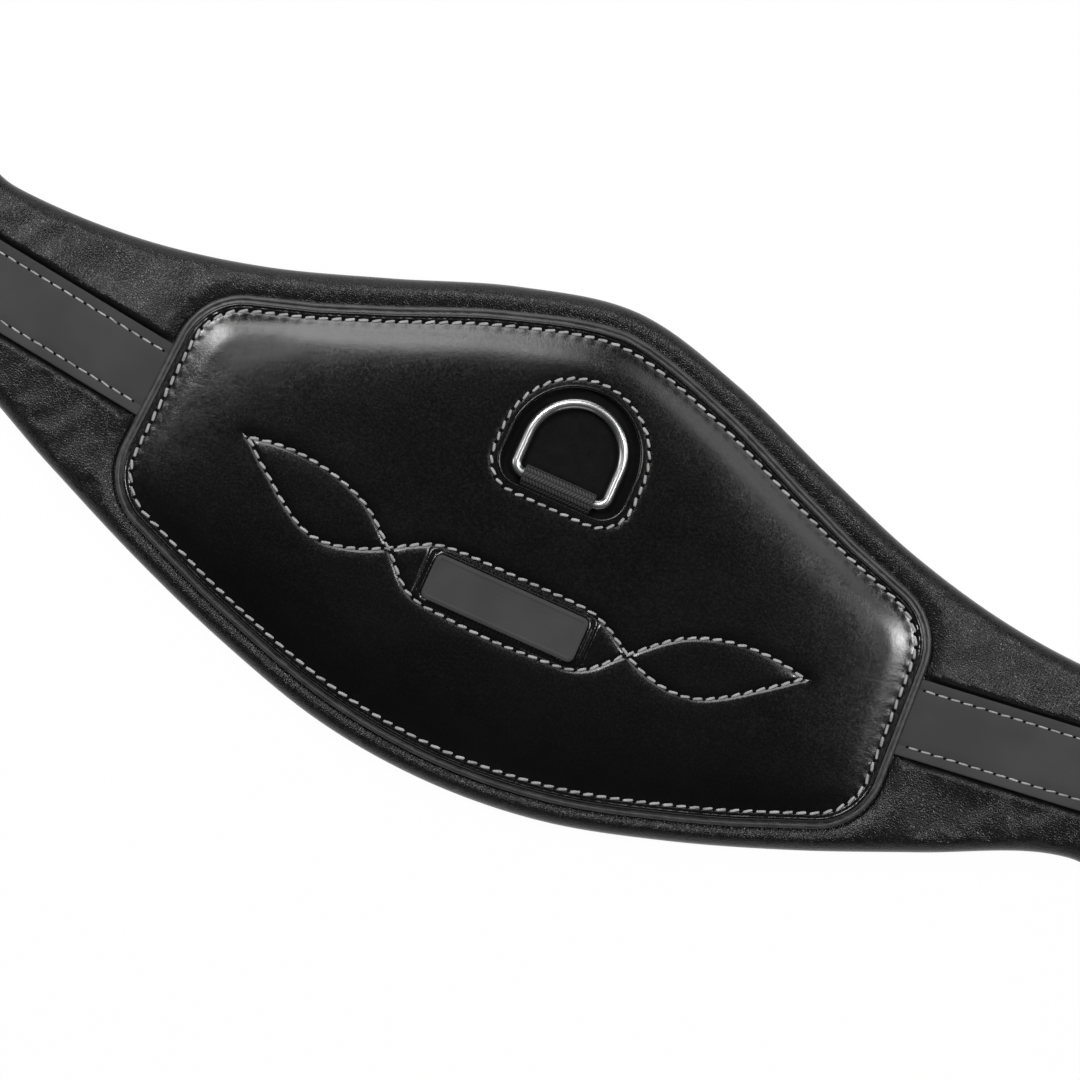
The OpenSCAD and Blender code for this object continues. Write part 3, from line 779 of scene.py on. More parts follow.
# %% [markdown] The simulation holds every point that is sewn or glued down, grows the leather by 0.6
# percent so that it has a little slack, and blows it up gently. How far a point may move is capped,
# because a saddler's foam is only a few millimetres thicker there. The cloth adds the small uneven slack
# that a formula doesn't have. %% Cloth that swells where it isn't held
CLOTH_FRAMES = 20


def swell(thing, free, pressure, grow, cap):
    """Runs the cloth for a few frames with free points loose, and keeps each move within cap mm."""
    before = np.empty(len(thing.data.vertices) * 3, np.float32)
    thing.data.vertices.foreach_get("co", before)
    group = thing.vertex_groups.new(name="held")
    for level in np.unique(np.round(free * 8)):
        group.add(np.nonzero(np.round(free * 8) == level)[0].tolist(), float(1 - level / 8), "REPLACE")
    cloth = thing.modifiers.new("cloth", "CLOTH")
    cloth.settings.vertex_group_mass = "held"
    cloth.settings.quality = 4
    cloth.settings.mass = 0.12
    cloth.settings.tension_stiffness = cloth.settings.compression_stiffness = 18
    cloth.settings.bending_stiffness = 12
    cloth.settings.shrink_min = -grow
    cloth.settings.use_pressure = True
    cloth.settings.uniform_pressure_force = pressure
    cloth.settings.effector_weights.gravity = 0
    cloth.collision_settings.use_collision = False
    scene = bpy.context.scene
    for step in range(1, CLOTH_FRAMES + 1):
        scene.frame_set(step)
    settled = thing.evaluated_get(bpy.context.evaluated_depsgraph_get())
    after = np.empty(len(before), np.float32)
    settled.data.vertices.foreach_get("co", after)
    thing.modifiers.remove(cloth)
    scene.frame_set(1)
    move = (after - before).reshape(-1, 3)
    size = np.linalg.norm(move, axis=1, keepdims=True)
    move *= np.minimum(1, cap * MM / np.maximum(size, 1e-9)) * free[:, None]
    thing.data.vertices.foreach_set("co", (before + move.ravel()).astype(np.float32))
    thing.vertex_groups.clear()
    thing.data.update()
    most, usual = size.max() / MM, np.median(size) / MM
    print(f"{thing.name} swelled by up to {most:.2f} mm, and half of it by less than {usual:.2f}")


def refine(thing, levels=1):
    """Subdivision Surface with equal levels in the view and the render."""
    finer = thing.modifiers.new("finer", "SUBSURF")
    finer.levels = finer.render_levels = levels
    return thing


cover = add_piece("padding_cover", cover_shape, None, SOFT)
edge_free = smooth(cover_edge, 0.2, 5)
plate_free = smooth(-to_edge(cover_points, COARSE_PLATE), 1, 6)
strap_free, yoke_free = smooth(to_strap(cover_points), 0.3, 2.8), smooth(to_yoke(cover_points), 0.5, 4)
loose = edge_free * plate_free * strap_free * yoke_free * (1 - smooth(arm_place(cover_points)[0], 108, 126))
swell(cover, np.concatenate([loose, loose * 0]), 3.0, 0.006, 1.0)
refine(cover)
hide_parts("pad_cover", "pad_foam", "load_web")
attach(cover, "girth")


# %% [markdown]
# ### The lining
# The underside is a leather stretched flat below the foam, and it curls up to the seam. It lies on the
# floor and hardly shows, so a few rows along its edge and a wide honeycomb are enough, and it needs no
# simulation.
# %% The lining below
def lining_height(d):
    """Underside that curls down from the seam to the floor: a share of the padding's thickness, read
    from a short table of the distance to the edge."""
    return PAD * np.interp(d, [0, 0.1, 0.6, 1.2, 2.4, 4, 5.5], [0.43, 0.36, 0.23, 0.15, 0.075, 0.02, 0])


lining_plan = plan(PAD_LINE, [0.1, 0.6, 1.2, 2.4, 4.0, 5.5], 9.0, 2.6)
lining_edge = to_edge(lining_plan[0], COARSE_PAD)
lining_shape = slab(lining_plan, np.full(len(lining_plan[0]), SEAM_Z), lining_height(lining_edge))
lining = add_piece("padding_lining", lining_shape, "girth", SOFT, ["pad_liner"], sharp=60)

# %% [markdown]
# ## The plate
# A thick backing leather shows as a flange all round. On it sits a polished top leather over foam: sewn
# down along its edge, it climbs over the foam's edge to a crown, dips again into the window, and carries
# a recess with a raised frame for the patch. The decorative seam is a pair of leaf shapes whose two lines
# cross and run on round the patch. The dome could be a subdivided cage that is pulled up by hand. A
# height made of terms keeps each seam's channel at its true width, whatever the dome does.
# %% The decorative seam and the patch as lines
PATCH_Y, PATCH_L, PATCH_W, FRAME_W = -5.6 + SHIFT, 62.5, 18.0, 3.2
SEAM_Y = -23.0


def through(stops, closed=False, fine=0.5):
    """Smooth line through points: a cubic between each two that heads along their neighbours' chord."""
    p = np.asarray(stops, float)
    before, after = (p[-1:], p[:2]) if closed else (2 * p[:1] - p[1:2], 2 * p[-1:] - p[-2:-1])
    q = np.concatenate([before, p, after])
    a, b, c, d = q[:-3], q[1:-2], q[2:-1], q[3:]
    t = np.linspace(0, 1, 16, endpoint=False)[None, :, None]
    a, b, c, d = (v[:, None] for v in (a, b, c, d))
    line = b + t / 2 * (c - a + t * (2 * a - 5 * b + 4 * c - d + t * (3 * (b - c) + d - a)))
    line = line.reshape(-1, 2)
    line = line if closed else np.concatenate([line, p[-1:]])
    return walk(line, int(length_along(line, closed)[-1] / fine), closed)


UPPER = np.array([[0, 10.4], [20, 10.4], [31, 9.6], [39, 6.6], [49, 0.7], [55, -2.2], [63, -4.5],
                  [72.4, -5.2], [81, -3.2], [91, 2.6], [99, 8.6], [106, 13.8], [113, 19.6]])
LOWER = np.array([[0, -15.2], [22, -14.2], [32, -13], [38.6, -9.6], [43.8, -4.3], [49, 0.7], [60.7, 11.4],
                  [70.5, 17.2], [81.5, 20.6], [93, 21.9], [103, 21.4], [113, 19.6]])


def both_sides(half):
    """A line from the middle outwards, led by its mirror image. The left leaf was sewn a little lower."""
    half = half + [0, SEAM_Y]
    left = (half * [-1, 1])[:0:-1]
    left = left - [0.9, 2.4] * smooth(-left[:, :1], 49, 80)
    return through(np.concatenate([left, half]))


SEAMS = [both_sides(UPPER), both_sides(LOWER)]


def rounded_box(length, width, r, y):
    """Rounded rectangle centred on X, as an even row of points that runs anticlockwise."""
    box = np.array([[-1, -1], [1, -1], [1, 1], [-1, 1]]) * [length / 2, width / 2] + [0, y]
    line = rounded(box, r, 12)
    return walk(line, int(length_along(line)[-1] / 0.6))


PATCH_LINE = rounded_box(PATCH_L, PATCH_W, 2.5, PATCH_Y)
FRAME_LINE = rounded_box(PATCH_L + 2 * FRAME_W, PATCH_W + 4.4, 3.0, PATCH_Y)
print("seam lines in mm:", [round(length_along(line, False)[-1]) for line in SEAMS])

# %% [markdown]
# ### The plate's surface
# Leather drawn over foam and sewn down has a flat shelf at its edge, a steep rise and a broad crown, and
# every seam pulls a channel into it. Each of these is one term of a sum, so each can be changed alone.
# %% Height of the top leather
BORDER_IN, BORDER_PITCH, WINDOW_OUT, WINDOW_PITCH = 5.9, 5.0, 2.7, 4.65
BORDER = walk(inset(walk(PLATE_LINE, 900), BORDER_IN), 1000)
ROUND_WINDOW = inset(WINDOW_LINE, -WINDOW_OUT)


def crown_height(p):
    """Shelf for the border seam, a small rise over the foam's edge, and a dome: the product of
    1 - exp(-distance / reach) for the front, the rear and the nearer end, so that it rounds every corner.
    The shelf follows -k log(sum(exp(-distance / k))), a distance to all edges whose own corners are round."""
    x, y = np.abs(p[:, 0]), p[:, 1]
    front, rear = plate_front(x), plate_rear(x)
    lean = np.arctan2(LEAN, plate_front(np.array(PLATE_HALF)) - plate_rear(np.array(PLATE_HALF)))
    edges = np.stack([(front - y) * 0.96, (y - rear) * 0.96, PLATE_HALF - LEAN / 2 - x - y * np.tan(lean)])
    reach = np.array([[9.0], [13.0], [22.0]])
    inside = edges - 11
    share = np.prod(1 - np.exp(-(inside + np.sqrt(inside ** 2 + 9)) / 2 / reach), axis=0)
    round_in = -6 * np.log(np.exp(-np.clip(edges, 0, 200) / 6).sum(0))
    shelf = 0.8 * smooth(round_in, 6.4, 13.5)
    return PLATE_Z + TOP + shelf + 3.8 * share


def pulled(p, line, pitch, at, depth):
    """Small dimples beside a closed seam, one at every needle hole: a bell across times (1 + cos) along."""
    away, along = nearest(p, line)
    count = round(length_along(line)[-1] / pitch)
    turn = 2 * np.pi * along / length_along(line)[-1] * count
    return depth * dip(away, at, 1.3) * (0.5 + 0.5 * np.cos(turn))


def plate_height(p):
    """Top of the polished leather: the crown, less the seam channels and the dip into the window, plus
    the raised frame of the patch and the slow unevenness of leather drawn over foam."""
    d, w = to_edge(p, COARSE_PLATE), -nearest(p, WINDOW_LINE)[0]
    frame, patch = -nearest(p, FRAME_LINE)[0], -nearest(p, PATCH_LINE)[0]
    z = crown_height(p) - quarter_round(np.maximum(d - 2.9, 0), 0.7)
    z -= 0.3 * dip(d, BORDER_IN, 0.8) + 0.18 * dip(d, 4.25, 0.3) + pulled(p, BORDER, BORDER_PITCH, 1.0, 0.11)
    z -= 0.25 * dip(np.maximum(w, 0), 0, 5.5) + 0.12 * dip(w, WINDOW_OUT, 0.9)
    z -= pulled(p, ROUND_WINDOW, WINDOW_PITCH, 0.0, 0.1)
    for line in SEAMS:
        z -= 0.5 * dip(nearest(p, line, False)[0], 0, 0.85) + 0.22 * dip(nearest(p, line, False)[0], 0, 3.2)
    z += 0.55 * (1 - smooth(frame, -0.45, 0.35)) - 0.3 * dip(patch, 1.15, 0.32)
    z -= 0.85 * (1 - smooth(patch, 0.0, 0.35))
    still = smooth(d, 6, 22) * smooth(w, 3, 9)
    return z + still * (0.05 * waves(p, 46, 3) + 0.01 * waves(p, 13, 4))


check = np.array([[0.0, -40.0], [100.0, 10.0], [0, 12.0]])
print("leather heights at three places:", np.round(plate_height(check), 2))

# %% [markdown]
# ### Laying the two leathers
# The backing is a flat piece with a burnished edge and a creased line near it. The top leather is the
# same kind of slab with the sum above as its face. The foam between them never shows, so the top leather
# stands for it too.
# %% Backing, top leather, and the foam between them
def backing_top(d):
    """Rounded burnished edge, then a creased line a little way in."""
    return PLATE_Z - quarter_round(d, 0.75) - 0.32 * dip(d, 2.0, 0.22) + 0.1 * dip(d, 1.25, 0.5)


backing_plan = plan(PLATE_LINE, [0.06, 0.2, 0.45, 0.75, 1.2, 1.6, 1.85, 2.0, 2.15, 2.4, 3.2, 4.5], 9.0, 1.3)
d = to_edge(backing_plan[0], walk(PLATE_LINE, 1200))
backing = add_piece("plate_backing_leather", slab(backing_plan, backing_top(d), PAD + quarter_round(d, 0.5)),
                    "girth", EDGE, ["plate_backing"], sharp=50)

TOP_LINE = walk(inset(PLATE_LINE, 2.9), 1100)
EDGE_STEPS = [0.05, 0.15, 0.35, 0.65, 1.0, 1.2, 1.35, 1.5, 1.8, 2.3, 2.6, 3.0, 3.4, 3.8, 4.4, 5.2, 6.2,
              7.2, 8.4]
WINDOW_STEPS = [0.5, 1.0, 1.6, 2.1, 2.5, 2.9, 3.3, 3.9, 4.8, 6.0]
top_seams = [(line, False) for line in SEAMS] + [(FRAME_LINE, True), (PATCH_LINE, True)]
top_plan = plan(TOP_LINE, EDGE_STEPS, 2.3, 1.1, WINDOW_LINE, WINDOW_STEPS, top_seams,
                [-1.7, -0.9, -0.45, 0.0, 0.45, 0.9, 1.7])
top_z = plate_height(top_plan[0])
top = add_piece("plate_top_leather", slab(top_plan, top_z, np.full(len(top_z), PLATE_Z - 0.05)), "girth",
                PLATE, ["plate_top", "plate_foam"], sharp=75)


# %% [markdown]
# ### The window
# The leather turns in round the window in a thin shiny lip, the floor of the recess is lined with suede,
# and a ribbed webbing comes up from below the leather, goes round the ring's straight bar and back. A
# bevel on the hole's edge could make the lip, but that edge isn't level, so a small closed section is
# carried round it at the leather's own height.
# %% Lip and lining of the window
def at_height(p, z):
    """Plane points with a height each."""
    return np.column_stack([p, np.broadcast_to(z, len(p))])


lip_line = walk(WINDOW_LINE, 260)
lip_z = plate_height(inset(lip_line, -0.05))
lip_place = lip_line[:, None] + np.stack([-tangents(lip_line)[:, 1], tangents(lip_line)[:, 0]], 1)[:, None] \
    * np.array([-0.5, -0.35, 0.0, 0.35, 0.62, 0.8, 0.86, 0.8, 0.62, 0.0, -0.5])[None, :, None]
lip_share = np.array([-0.25, 0.12, 0.26, 0.24, 0.1, -0.15, -0.5, -1.0, -1.4, -1.6, -1.6])
lip_height = lip_z[:, None] + lip_share[None]
lip_height[:, 6:] = np.linspace(lip_height[:, 6], PAD + BACKING + 1.4, 5, axis=1)
lip = add_piece("window_lip", skin(np.concatenate([lip_place, lip_height[..., None]], 2), ring=True), "girth",
                PLATE, ["window_binding"])

RING_Y, RING_R, WIRE_R, RING_Z = 58.0 + SHIFT, 18.625, 2.075, 18.355
BAR_Y, KEEPER_HALF, KEEPER_TAIL = 43.5 + SHIFT, 14.4, 21.0


def lining_z(p, w):
    """Soft floor of the window, pressed down where the webbing comes through."""
    below = (1 - smooth(np.abs(p[:, 0]), KEEPER_HALF - 0.2, KEEPER_HALF + 0.5)) \
        * (1 - smooth(p[:, 1], BAR_Y + 3.2, BAR_Y + 4.4))
    puff = 0.35 * np.exp(-(np.linalg.norm(p - [0, RING_Y - 3], axis=1) / 11) ** 2)
    edge = 0.9 * (1 - smooth(w, 0.2, 4.5))
    soft = 1.35 + puff + 0.06 * waves(p, 7, 12) + edge * 0.4
    return PLATE_Z + soft * (1 - below) + 0.12 * below


lining_line = window_line(1.2)
floor_plan = plan(lining_line, [0.5, 1.2, 2.2], 1.25, 1.2)
floor_z = lining_z(floor_plan[0], to_edge(floor_plan[0], lining_line))
floor_shape = slab(floor_plan, floor_z, np.full(len(floor_z), PLATE_Z + 0.02))
add_piece("window_suede", floor_shape, "girth", SUEDE, ["window_lining"])


# %% [markdown]
# ### The ring and its loop
# The ring is round wire bent to a D, and its loop is a flat woven tape with ribs about a third of a
# millimetre high. A bump pattern would look flat where the fold is seen from the side, so the ribs are
# modelled, and their height is kept as an attribute that paints their tops lighter and the gaps between them
# darker, a painted highlight and painted shade.
# %% Ring, and the webbing that holds it
def ring_path():
    """Half circle at the front, two straight sides and a straight bar joined by tight bends."""
    turn = np.linspace(0, np.pi, 60)
    arc = np.stack([np.cos(turn), np.sin(turn)], 1) * RING_R + [0, RING_Y]
    a, b = np.array([-RING_R, BAR_Y]), np.array([RING_R, BAR_Y])
    line = np.concatenate([arc, corner(arc[-1], a, b, 4, 14), corner(a, b, arc[0], 4, 14)])
    return at_height(walk(line, 220), RING_Z)


ring_shape = sweep(ring_path(), circle(WIRE_R, 28), ring=True)
add_piece("ring_wire", ring_shape, "ring", STEEL, ["dee_ring"])


def keeper_skin():
    """Folded webbing: the outline of the fold seen from its end, carried across the width. Ribs run
    along it, and each rib is a row of small slanted floats that lean one way and then the other."""
    turn = np.radians(np.linspace(-90, 150, 70))
    outer, drop = 3.535, RING_Z - PLATE_Z
    top = 2.8 - drop
    fold = np.stack([np.cos(turn), np.sin(turn)], 1) * outer
    end = np.array([-outer - 1.6, top + 0.25])
    tail = np.array([-KEEPER_TAIL, top])
    lead = fold[-1] + (end - fold[-1]) * smooth(np.linspace(0, 1, 14), 0, 1)[1:, None]
    back = end + (tail - end) * np.linspace(0, 1, 40)[1:, None]
    under = np.array([[-KEEPER_TAIL, -drop + 0.4], [-KEEPER_TAIL, -drop + 0.1], [-2.6, -drop + 0.1]])
    line = np.concatenate([fold, lead, back, under])
    line = np.concatenate([walk(line[:-3], 190, closed=False), under])
    x = np.linspace(-KEEPER_HALF, KEEPER_HALF, 200)
    along = length_along(line, False)[None, :]
    band = along / 2.45
    rib = np.sqrt(np.abs(np.sin(np.pi * band)))
    lean = np.where(band.astype(int) % 2 == 0, 1.0, -1.0)
    slant = (x[:, None] + lean * (band % 1) * 1.5) / 1.32
    floats = np.abs(np.sin(np.pi * slant))
    # shade is each rib's height, and it also becomes the webbing's colour: lighter tops and darker gaps as
    # painted highlight and painted shade.
    shade = np.clip(rib * 1.15 - 0.15, 0, 1) * floats ** 0.8
    shade[:, -3:] = 0.3
    raised = 0.32 * shade - 0.1
    side = np.clip((KEEPER_HALF - np.abs(x)) / 0.6, 0, 1)[:, None]
    raised = raised * side - 0.45 * (1 - np.sqrt(np.clip(1 - (1 - side) ** 2, 0, 1)))
    out = tangents(line, closed=True)
    out = np.stack([out[:, 1], -out[:, 0]], 1)
    place = line[None] + out[None] * raised[..., None]
    y, z = place[..., 0] + BAR_Y, place[..., 1] + RING_Z
    grid = np.stack([np.broadcast_to(x[:, None], y.shape), y, z], -1)
    return skin(grid), np.append(shade.ravel(), [0.2, 0.2])


keeper_shape, keeper_rib_shade = keeper_skin()
keeper = add_piece("keeper_webbing", keeper_shape, "girth", WEBBING_RIB_SHADE, ["ring_keeper"], sharp=80)
# The rib attribute carries the painted highlight and shade of the ribs into the webbing's colour.
keeper.data.attributes.new("rib", "FLOAT", "POINT").data.foreach_set("value", keeper_rib_shade.astype(np.float32))


# %% [markdown]
# ### The patch
# Moulded rubber with a fine raised border, let into the leather. It is left plain. It could be a bevelled
# box, but as a slab over a plan its border is one more term in the height.
# %% Bare rubber patch
patch_plan = plan(PATCH_LINE, [0.05, 0.2, 0.45, 0.8, 1.15, 1.4, 1.7, 2.0, 2.3], 3.0, 0.7)
d = to_edge(patch_plan[0], PATCH_LINE)
bed = CROWN_Z + 0.45
patch_z = bed - quarter_round(d, 0.45) + 0.16 * smooth(d, 0.95, 1.15) * (1 - smooth(d, 1.6, 1.8)) \
    + 0.05 * waves(patch_plan[0], 30, 21)
patch = add_piece("plain_patch", slab(patch_plan, patch_z, np.full(len(d), CROWN_Z - 0.4)), "girth", RUBBER,
                  ["name_patch"], sharp=60)


# %% [markdown]
# ## Straps, yokes and elastics
# Everything on an arm is drawn along the arm: s runs outwards from the plate and t across. A rubber-faced
# strap runs down each arm, a leather yoke covers its end and the roots of two elastics, and the elastics
# end in leather chapes that carry the buckles. The left arm is the right one's mirror image. The pieces
# could be turned and placed as objects, but a finished piece keeps its place in its mesh, so each shape
# is drawn flat and carried over by one formula.
# %% From arm measure to the girth
def from_arm(shape, side):
    """A shape drawn as s, t and height, set on one arm."""
    p, faces = shape
    return np.column_stack([on_arm(p[:, 0], p[:, 1], side), p[:, 2]]), faces


def panel(s0, s1, half, middle=0.0):
    """Rectangle in arm measure."""
    return np.array([[s0, middle - half], [s1, middle - half], [s1, middle + half], [s0, middle + half]])


STRAP_SEAM = 11.0


def strap_height(p):
    """Flat rubber with softened edges and a shallow groove under each row of stitches."""
    edge = np.minimum(STRAP_HALF - np.abs(p[:, 1]), p[:, 0] + 9)
    return PAD + 1.5 - quarter_round(edge, 0.35) - 0.22 * dip(np.abs(p[:, 1]), STRAP_SEAM, 0.6) \
        + 0.05 * waves(p, 22, 31)


strap_line = walk(panel(-8, STRAP_END, STRAP_HALF), 400)
strap_seams = [(walk(np.array([[-6.0, t], [106.0, t]]), 150, False), False)
               for t in (-STRAP_SEAM, STRAP_SEAM)]
strap_plan = plan(strap_line, [0.08, 0.2, 0.4, 0.8], 3.0, 0.9,
                  seams=strap_seams, seam_steps=[-1.0, -0.5, 0.0, 0.5, 1.0])
for name, side in SIDES.items():
    shape = slab(strap_plan, strap_height(strap_plan[0]), np.full(len(strap_plan[0]), PAD + 0.02))
    add_piece(f"strap_rubber_{name}", from_arm(shape, side), "girth", RUBBER,
              [f"strap_{name}"], sharp=60)

# %% [markdown]
# ### The yokes
# A yoke is two leathers sewn together round the strap's end and the elastics' roots, so it stands up over
# them and sinks to its sides. Cloth dropped over the parts would give that too, but not as crisply as a
# saddler's press, so the hump is a smooth step in the distance from each pocket.
# %% Yokes
ELASTIC_HALF, ELASTIC_LOW, ELASTIC_THICK = 12.525, 13.57, 2.2
CAP_LOW = PAD + 1.52
CAP_SEAM = 3.2


def pocket_away(p, extra=0.15):
    """Distance from the nearer elastic's pocket, zero inside it."""
    across = np.maximum(np.abs(np.abs(p[:, 1]) - PITCH / 2) - ELASTIC_HALF - extra, 0)
    return np.hypot(across, np.maximum(110.6 - p[:, 0], 0))


def yoke_height(p):
    """Leather drawn over the strap's end and the two elastics: it stands highest over them, sinks to the
    sides, and is pulled down along its stitching."""
    d = nearest(p, YOKE_LINE)[0]
    hump = 1 - smooth(pocket_away(p), 0, 5.5)
    strap = (1 - smooth(np.abs(p[:, 1]), 13, 20)) * (1 - smooth(p[:, 0], 100, 109))
    top = CAP_LOW + 1.75 + 2.15 * hump + 0.5 * strap * (1 - hump) + 0.12 * waves(p, 15, 41) * smooth(d, 1, 5)
    return top - quarter_round(d, 0.8) - 0.3 * dip(d, CAP_SEAM, 0.7)


yoke_plan = plan(YOKE_LINE, [0.08, 0.25, 0.5, 0.8, 1.3, 2.0, 2.6, 3.2], 1.6, 1.2)
p = yoke_plan[0]
cap_low = np.where(pocket_away(p) <= 0, ELASTIC_LOW + ELASTIC_THICK + 0.1, CAP_LOW)
base_top = CAP_LOW - 0.02 - quarter_round(nearest(p, YOKE_LINE)[0], 0.5)
for name, side in SIDES.items():
    add_piece(f"yoke_lining_{name}", from_arm(slab(yoke_plan, base_top, np.full(len(p), PAD + 0.02)), side),
              "girth", SOFT, [f"yoke_base_{name}"], sharp=60)
    add_piece(f"yoke_leather_{name}", from_arm(slab(yoke_plan, yoke_height(p), cap_low), side),
              "girth", PLATE, [f"yoke_cap_{name}"], sharp=60)


# %% [markdown]
# ### The elastics
# Elastic webbing is woven over rubber cords that show as fine ribs. It stretches when the girth is tightened.
# A rigid band on the buckle's body would slide out whole. Here each band is one mesh that is put on no body,
# and its weave is read from the mesh, so the pattern would follow the band if it stretched.
# %% Elastics
def elastic_webbing():
    """Woven elastic: fine cords along the arm crossed by tight picks, with a smooth edge. Its colour is
    lighter where cords and picks stand high and darker between them, a painted highlight and painted shade,
    with the yarn's own fuzz on top. The pattern follows the piece, so it reads the arm's own measure from an
    attribute."""
    f = Finish("elastic_webbing")
    place = f.node("Attribute", {"attribute_name": "weave"}, out="Vector")
    along = f.node("SeparateXYZ", None, {"Vector": place})
    across = along.beside("Y")
    cord = (across * 3.9).apply("SINE") ** 2.0
    pick = (along * 6.3 + (across * 1.24).apply("FLOOR") * 3.14).apply("SINE") ** 2.0
    fuzz = f.noise(0.4, 3, 0.6)
    height = cord * 0.6 + pick * 0.4 + fuzz * 0.25
    # Painted highlight and shade: the weave is lighter where it stands high and darker between, and the fuzz
    # adds the yarn's own tone.
    base = f.mix(grey(17), grey(44), (cord * 0.4 + pick * 0.35 + fuzz * 0.3).between(0.2, 0.9))
    return f.done(Base_Color=base, Roughness=0.66 + fuzz * 0.1, Specular_IOR_Level=0.3,
                  Normal=f.bump(height, 0.16))


ELASTIC = elastic_webbing()


def elastic_surface(p, middle):
    """Flat band: the height it loses at its rounded selvedges, and a shallow rib over every cord."""
    edge = ELASTIC_HALF - np.abs(p[:, 1] - middle)
    rib = 0.09 * np.cos(2 * np.pi * (p[:, 1] - middle) / 1.61) * smooth(edge, 0.3, 1.2)
    return quarter_round(np.maximum(edge, 0), 0.55), rib


for key, (side, row) in ENDS.items():
    middle = row * PITCH / 2
    band_plan = plan(walk(panel(112, HEEL_AT - 8, ELASTIC_HALF, middle), 300), [0.1, 0.3, 0.6, 1.0], 0.8, 0.8)
    loss, rib = elastic_surface(band_plan[0], middle)
    shape = slab(band_plan, ELASTIC_LOW + ELASTIC_THICK - 0.06 - loss + rib - 0.03, ELASTIC_LOW + loss * 0.9)
    band = add_piece(f"elastic_band_{key}", from_arm(shape, side), None, ELASTIC,
                     [f"elastic_{key}"], sharp=70)
    weave = band.data.attributes.new("weave", "FLOAT_VECTOR", "POINT")
    weave.data.foreach_set("vector", shape[0].astype(np.float32).ravel())
    start, end = (on_arm(s, middle, side) * MM for s in (127.0, 146.0))
    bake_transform(band)


# %% [markdown]
# ## Chapes and buckles
# A chape is cut flat, with a slot for the tongue, and folded round the buckle's heel bar, so it is made
# that way here: a slab over a plan with a hole, whose length is then wound along the fold. The buckle's
# wire frame is a section carried round a path, and its roller and the tongue's eye are turned on a lathe.
# A modifier could bend the chape, but the path of its fold is known exactly, so its points are wound
# along that path instead.
# %% From buckle measure to the girth
def from_heel(shape, side, row):
    """A shape drawn about the heel bar, outwards, across and up, set on one end of the girth."""
    p, faces = shape
    place = on_arm(HEEL_AT + p[:, 0], row * PITCH / 2 + p[:, 1], side)
    return np.column_stack([place, BAR_Z + p[:, 2]]), faces


PLY, BORE_R = 1.25, 2.31
PLY_HIGH, PLY_LOW = 0.535, -(BORE_R + PLY / 2 + 0.02)


def fold_path():
    """Middle of the leather: the upper ply, the way round the bar, and the lower ply."""
    r = BORE_R + PLY / 2 + 0.02
    turn = np.radians(np.linspace(104, -90, 60))
    wrap = np.stack([np.cos(turn), np.sin(turn)], 1) * r
    stops = np.array([[-22, PLY_HIGH], [-15, PLY_HIGH], [-8.4, PLY_HIGH], [-4.4, 1.65]])
    upper = through(np.concatenate([stops, wrap[:1]]))
    lower = np.stack([np.linspace(0, -22, 60)[1:], np.full(59, PLY_LOW)], 1)
    return walk(np.concatenate([upper[:-1], wrap, lower]), 500, closed=False)


FOLD = fold_path()
FOLD_LENGTH = length_along(FOLD, False)[-1]


def folded(shape):
    """Flat shape of length, width and height, wound along the fold: the height stands out from it."""
    p, faces = shape
    s = length_along(FOLD, False)
    t = tangents(FOLD, False)
    a, c, ta, tc = (np.interp(p[:, 0], s, v) for v in (FOLD[:, 0], FOLD[:, 1], t[:, 0], t[:, 1]))
    size = np.hypot(ta, tc)
    return np.column_stack([a - tc / size * p[:, 2], p[:, 1], c + ta / size * p[:, 2]]), faces


chape_line = walk(rounded(panel(0, FOLD_LENGTH, ELASTIC_HALF + 0.1), 1.5, 10), 300)
slot_line = walk(rounded(panel(14.2, FOLD_LENGTH - 14.2, 2.35), 2.2, 12), 120)
chape_plan = plan(chape_line, [0.08, 0.25, 0.5, 0.9, 1.6, 2.3], 0.95, 0.75, slot_line, [0.08, 0.25, 0.5, 0.9])
p = chape_plan[0]
edge = np.minimum(nearest(p, chape_line)[0], -nearest(p, slot_line)[0])
lines = sum(0.22 * dip(p[:, 0], at, 0.5) for at in (2.6, 11.4)) * (1 - smooth(np.abs(p[:, 1]), 10, 10.6))
face = PLY / 2 - quarter_round(edge, 0.4) - lines - 0.15 * dip(edge, 2.0, 0.35)
chape_shape = folded(slab(chape_plan, face, -PLY / 2 + quarter_round(edge, 0.2)))


def rounded_loop(w, h, r, n=6):
    """Rounded rectangle about the origin as a closed section."""
    return rounded(np.array([[-1, -1], [1, -1], [1, 1], [-1, 1]]) * [w / 2, h / 2], r, n)


def turned(profile, n=48, at=(0.0, 0.0)):
    """Lathe about the bar's direction: each profile point has a radius and a place along the bar."""
    turn = (np.arange(n) / n * 2 * np.pi)[:, None]
    r, b = profile[:, 0][None], profile[:, 1][None]
    grid = np.stack([at[0] + r * np.cos(turn), b + 0 * turn, at[1] + r * np.sin(turn)], -1)
    return skin(grid, ring=True)


BUCKLE_LENGTH, SIDE_BAR, WIRE, ROLLER_R, ROLLER_HALF = 30.0, 16.25, 2.25, 3.6, 12.625
TILT = np.arcsin(5.25 / BUCKLE_LENGTH)
frame_path = walk(rounded(panel(0, BUCKLE_LENGTH, SIDE_BAR), 3.375, 12), 160)
frame_shape = sweep(at_height(frame_path, 0.0), circle(WIRE, 24), ring=True)


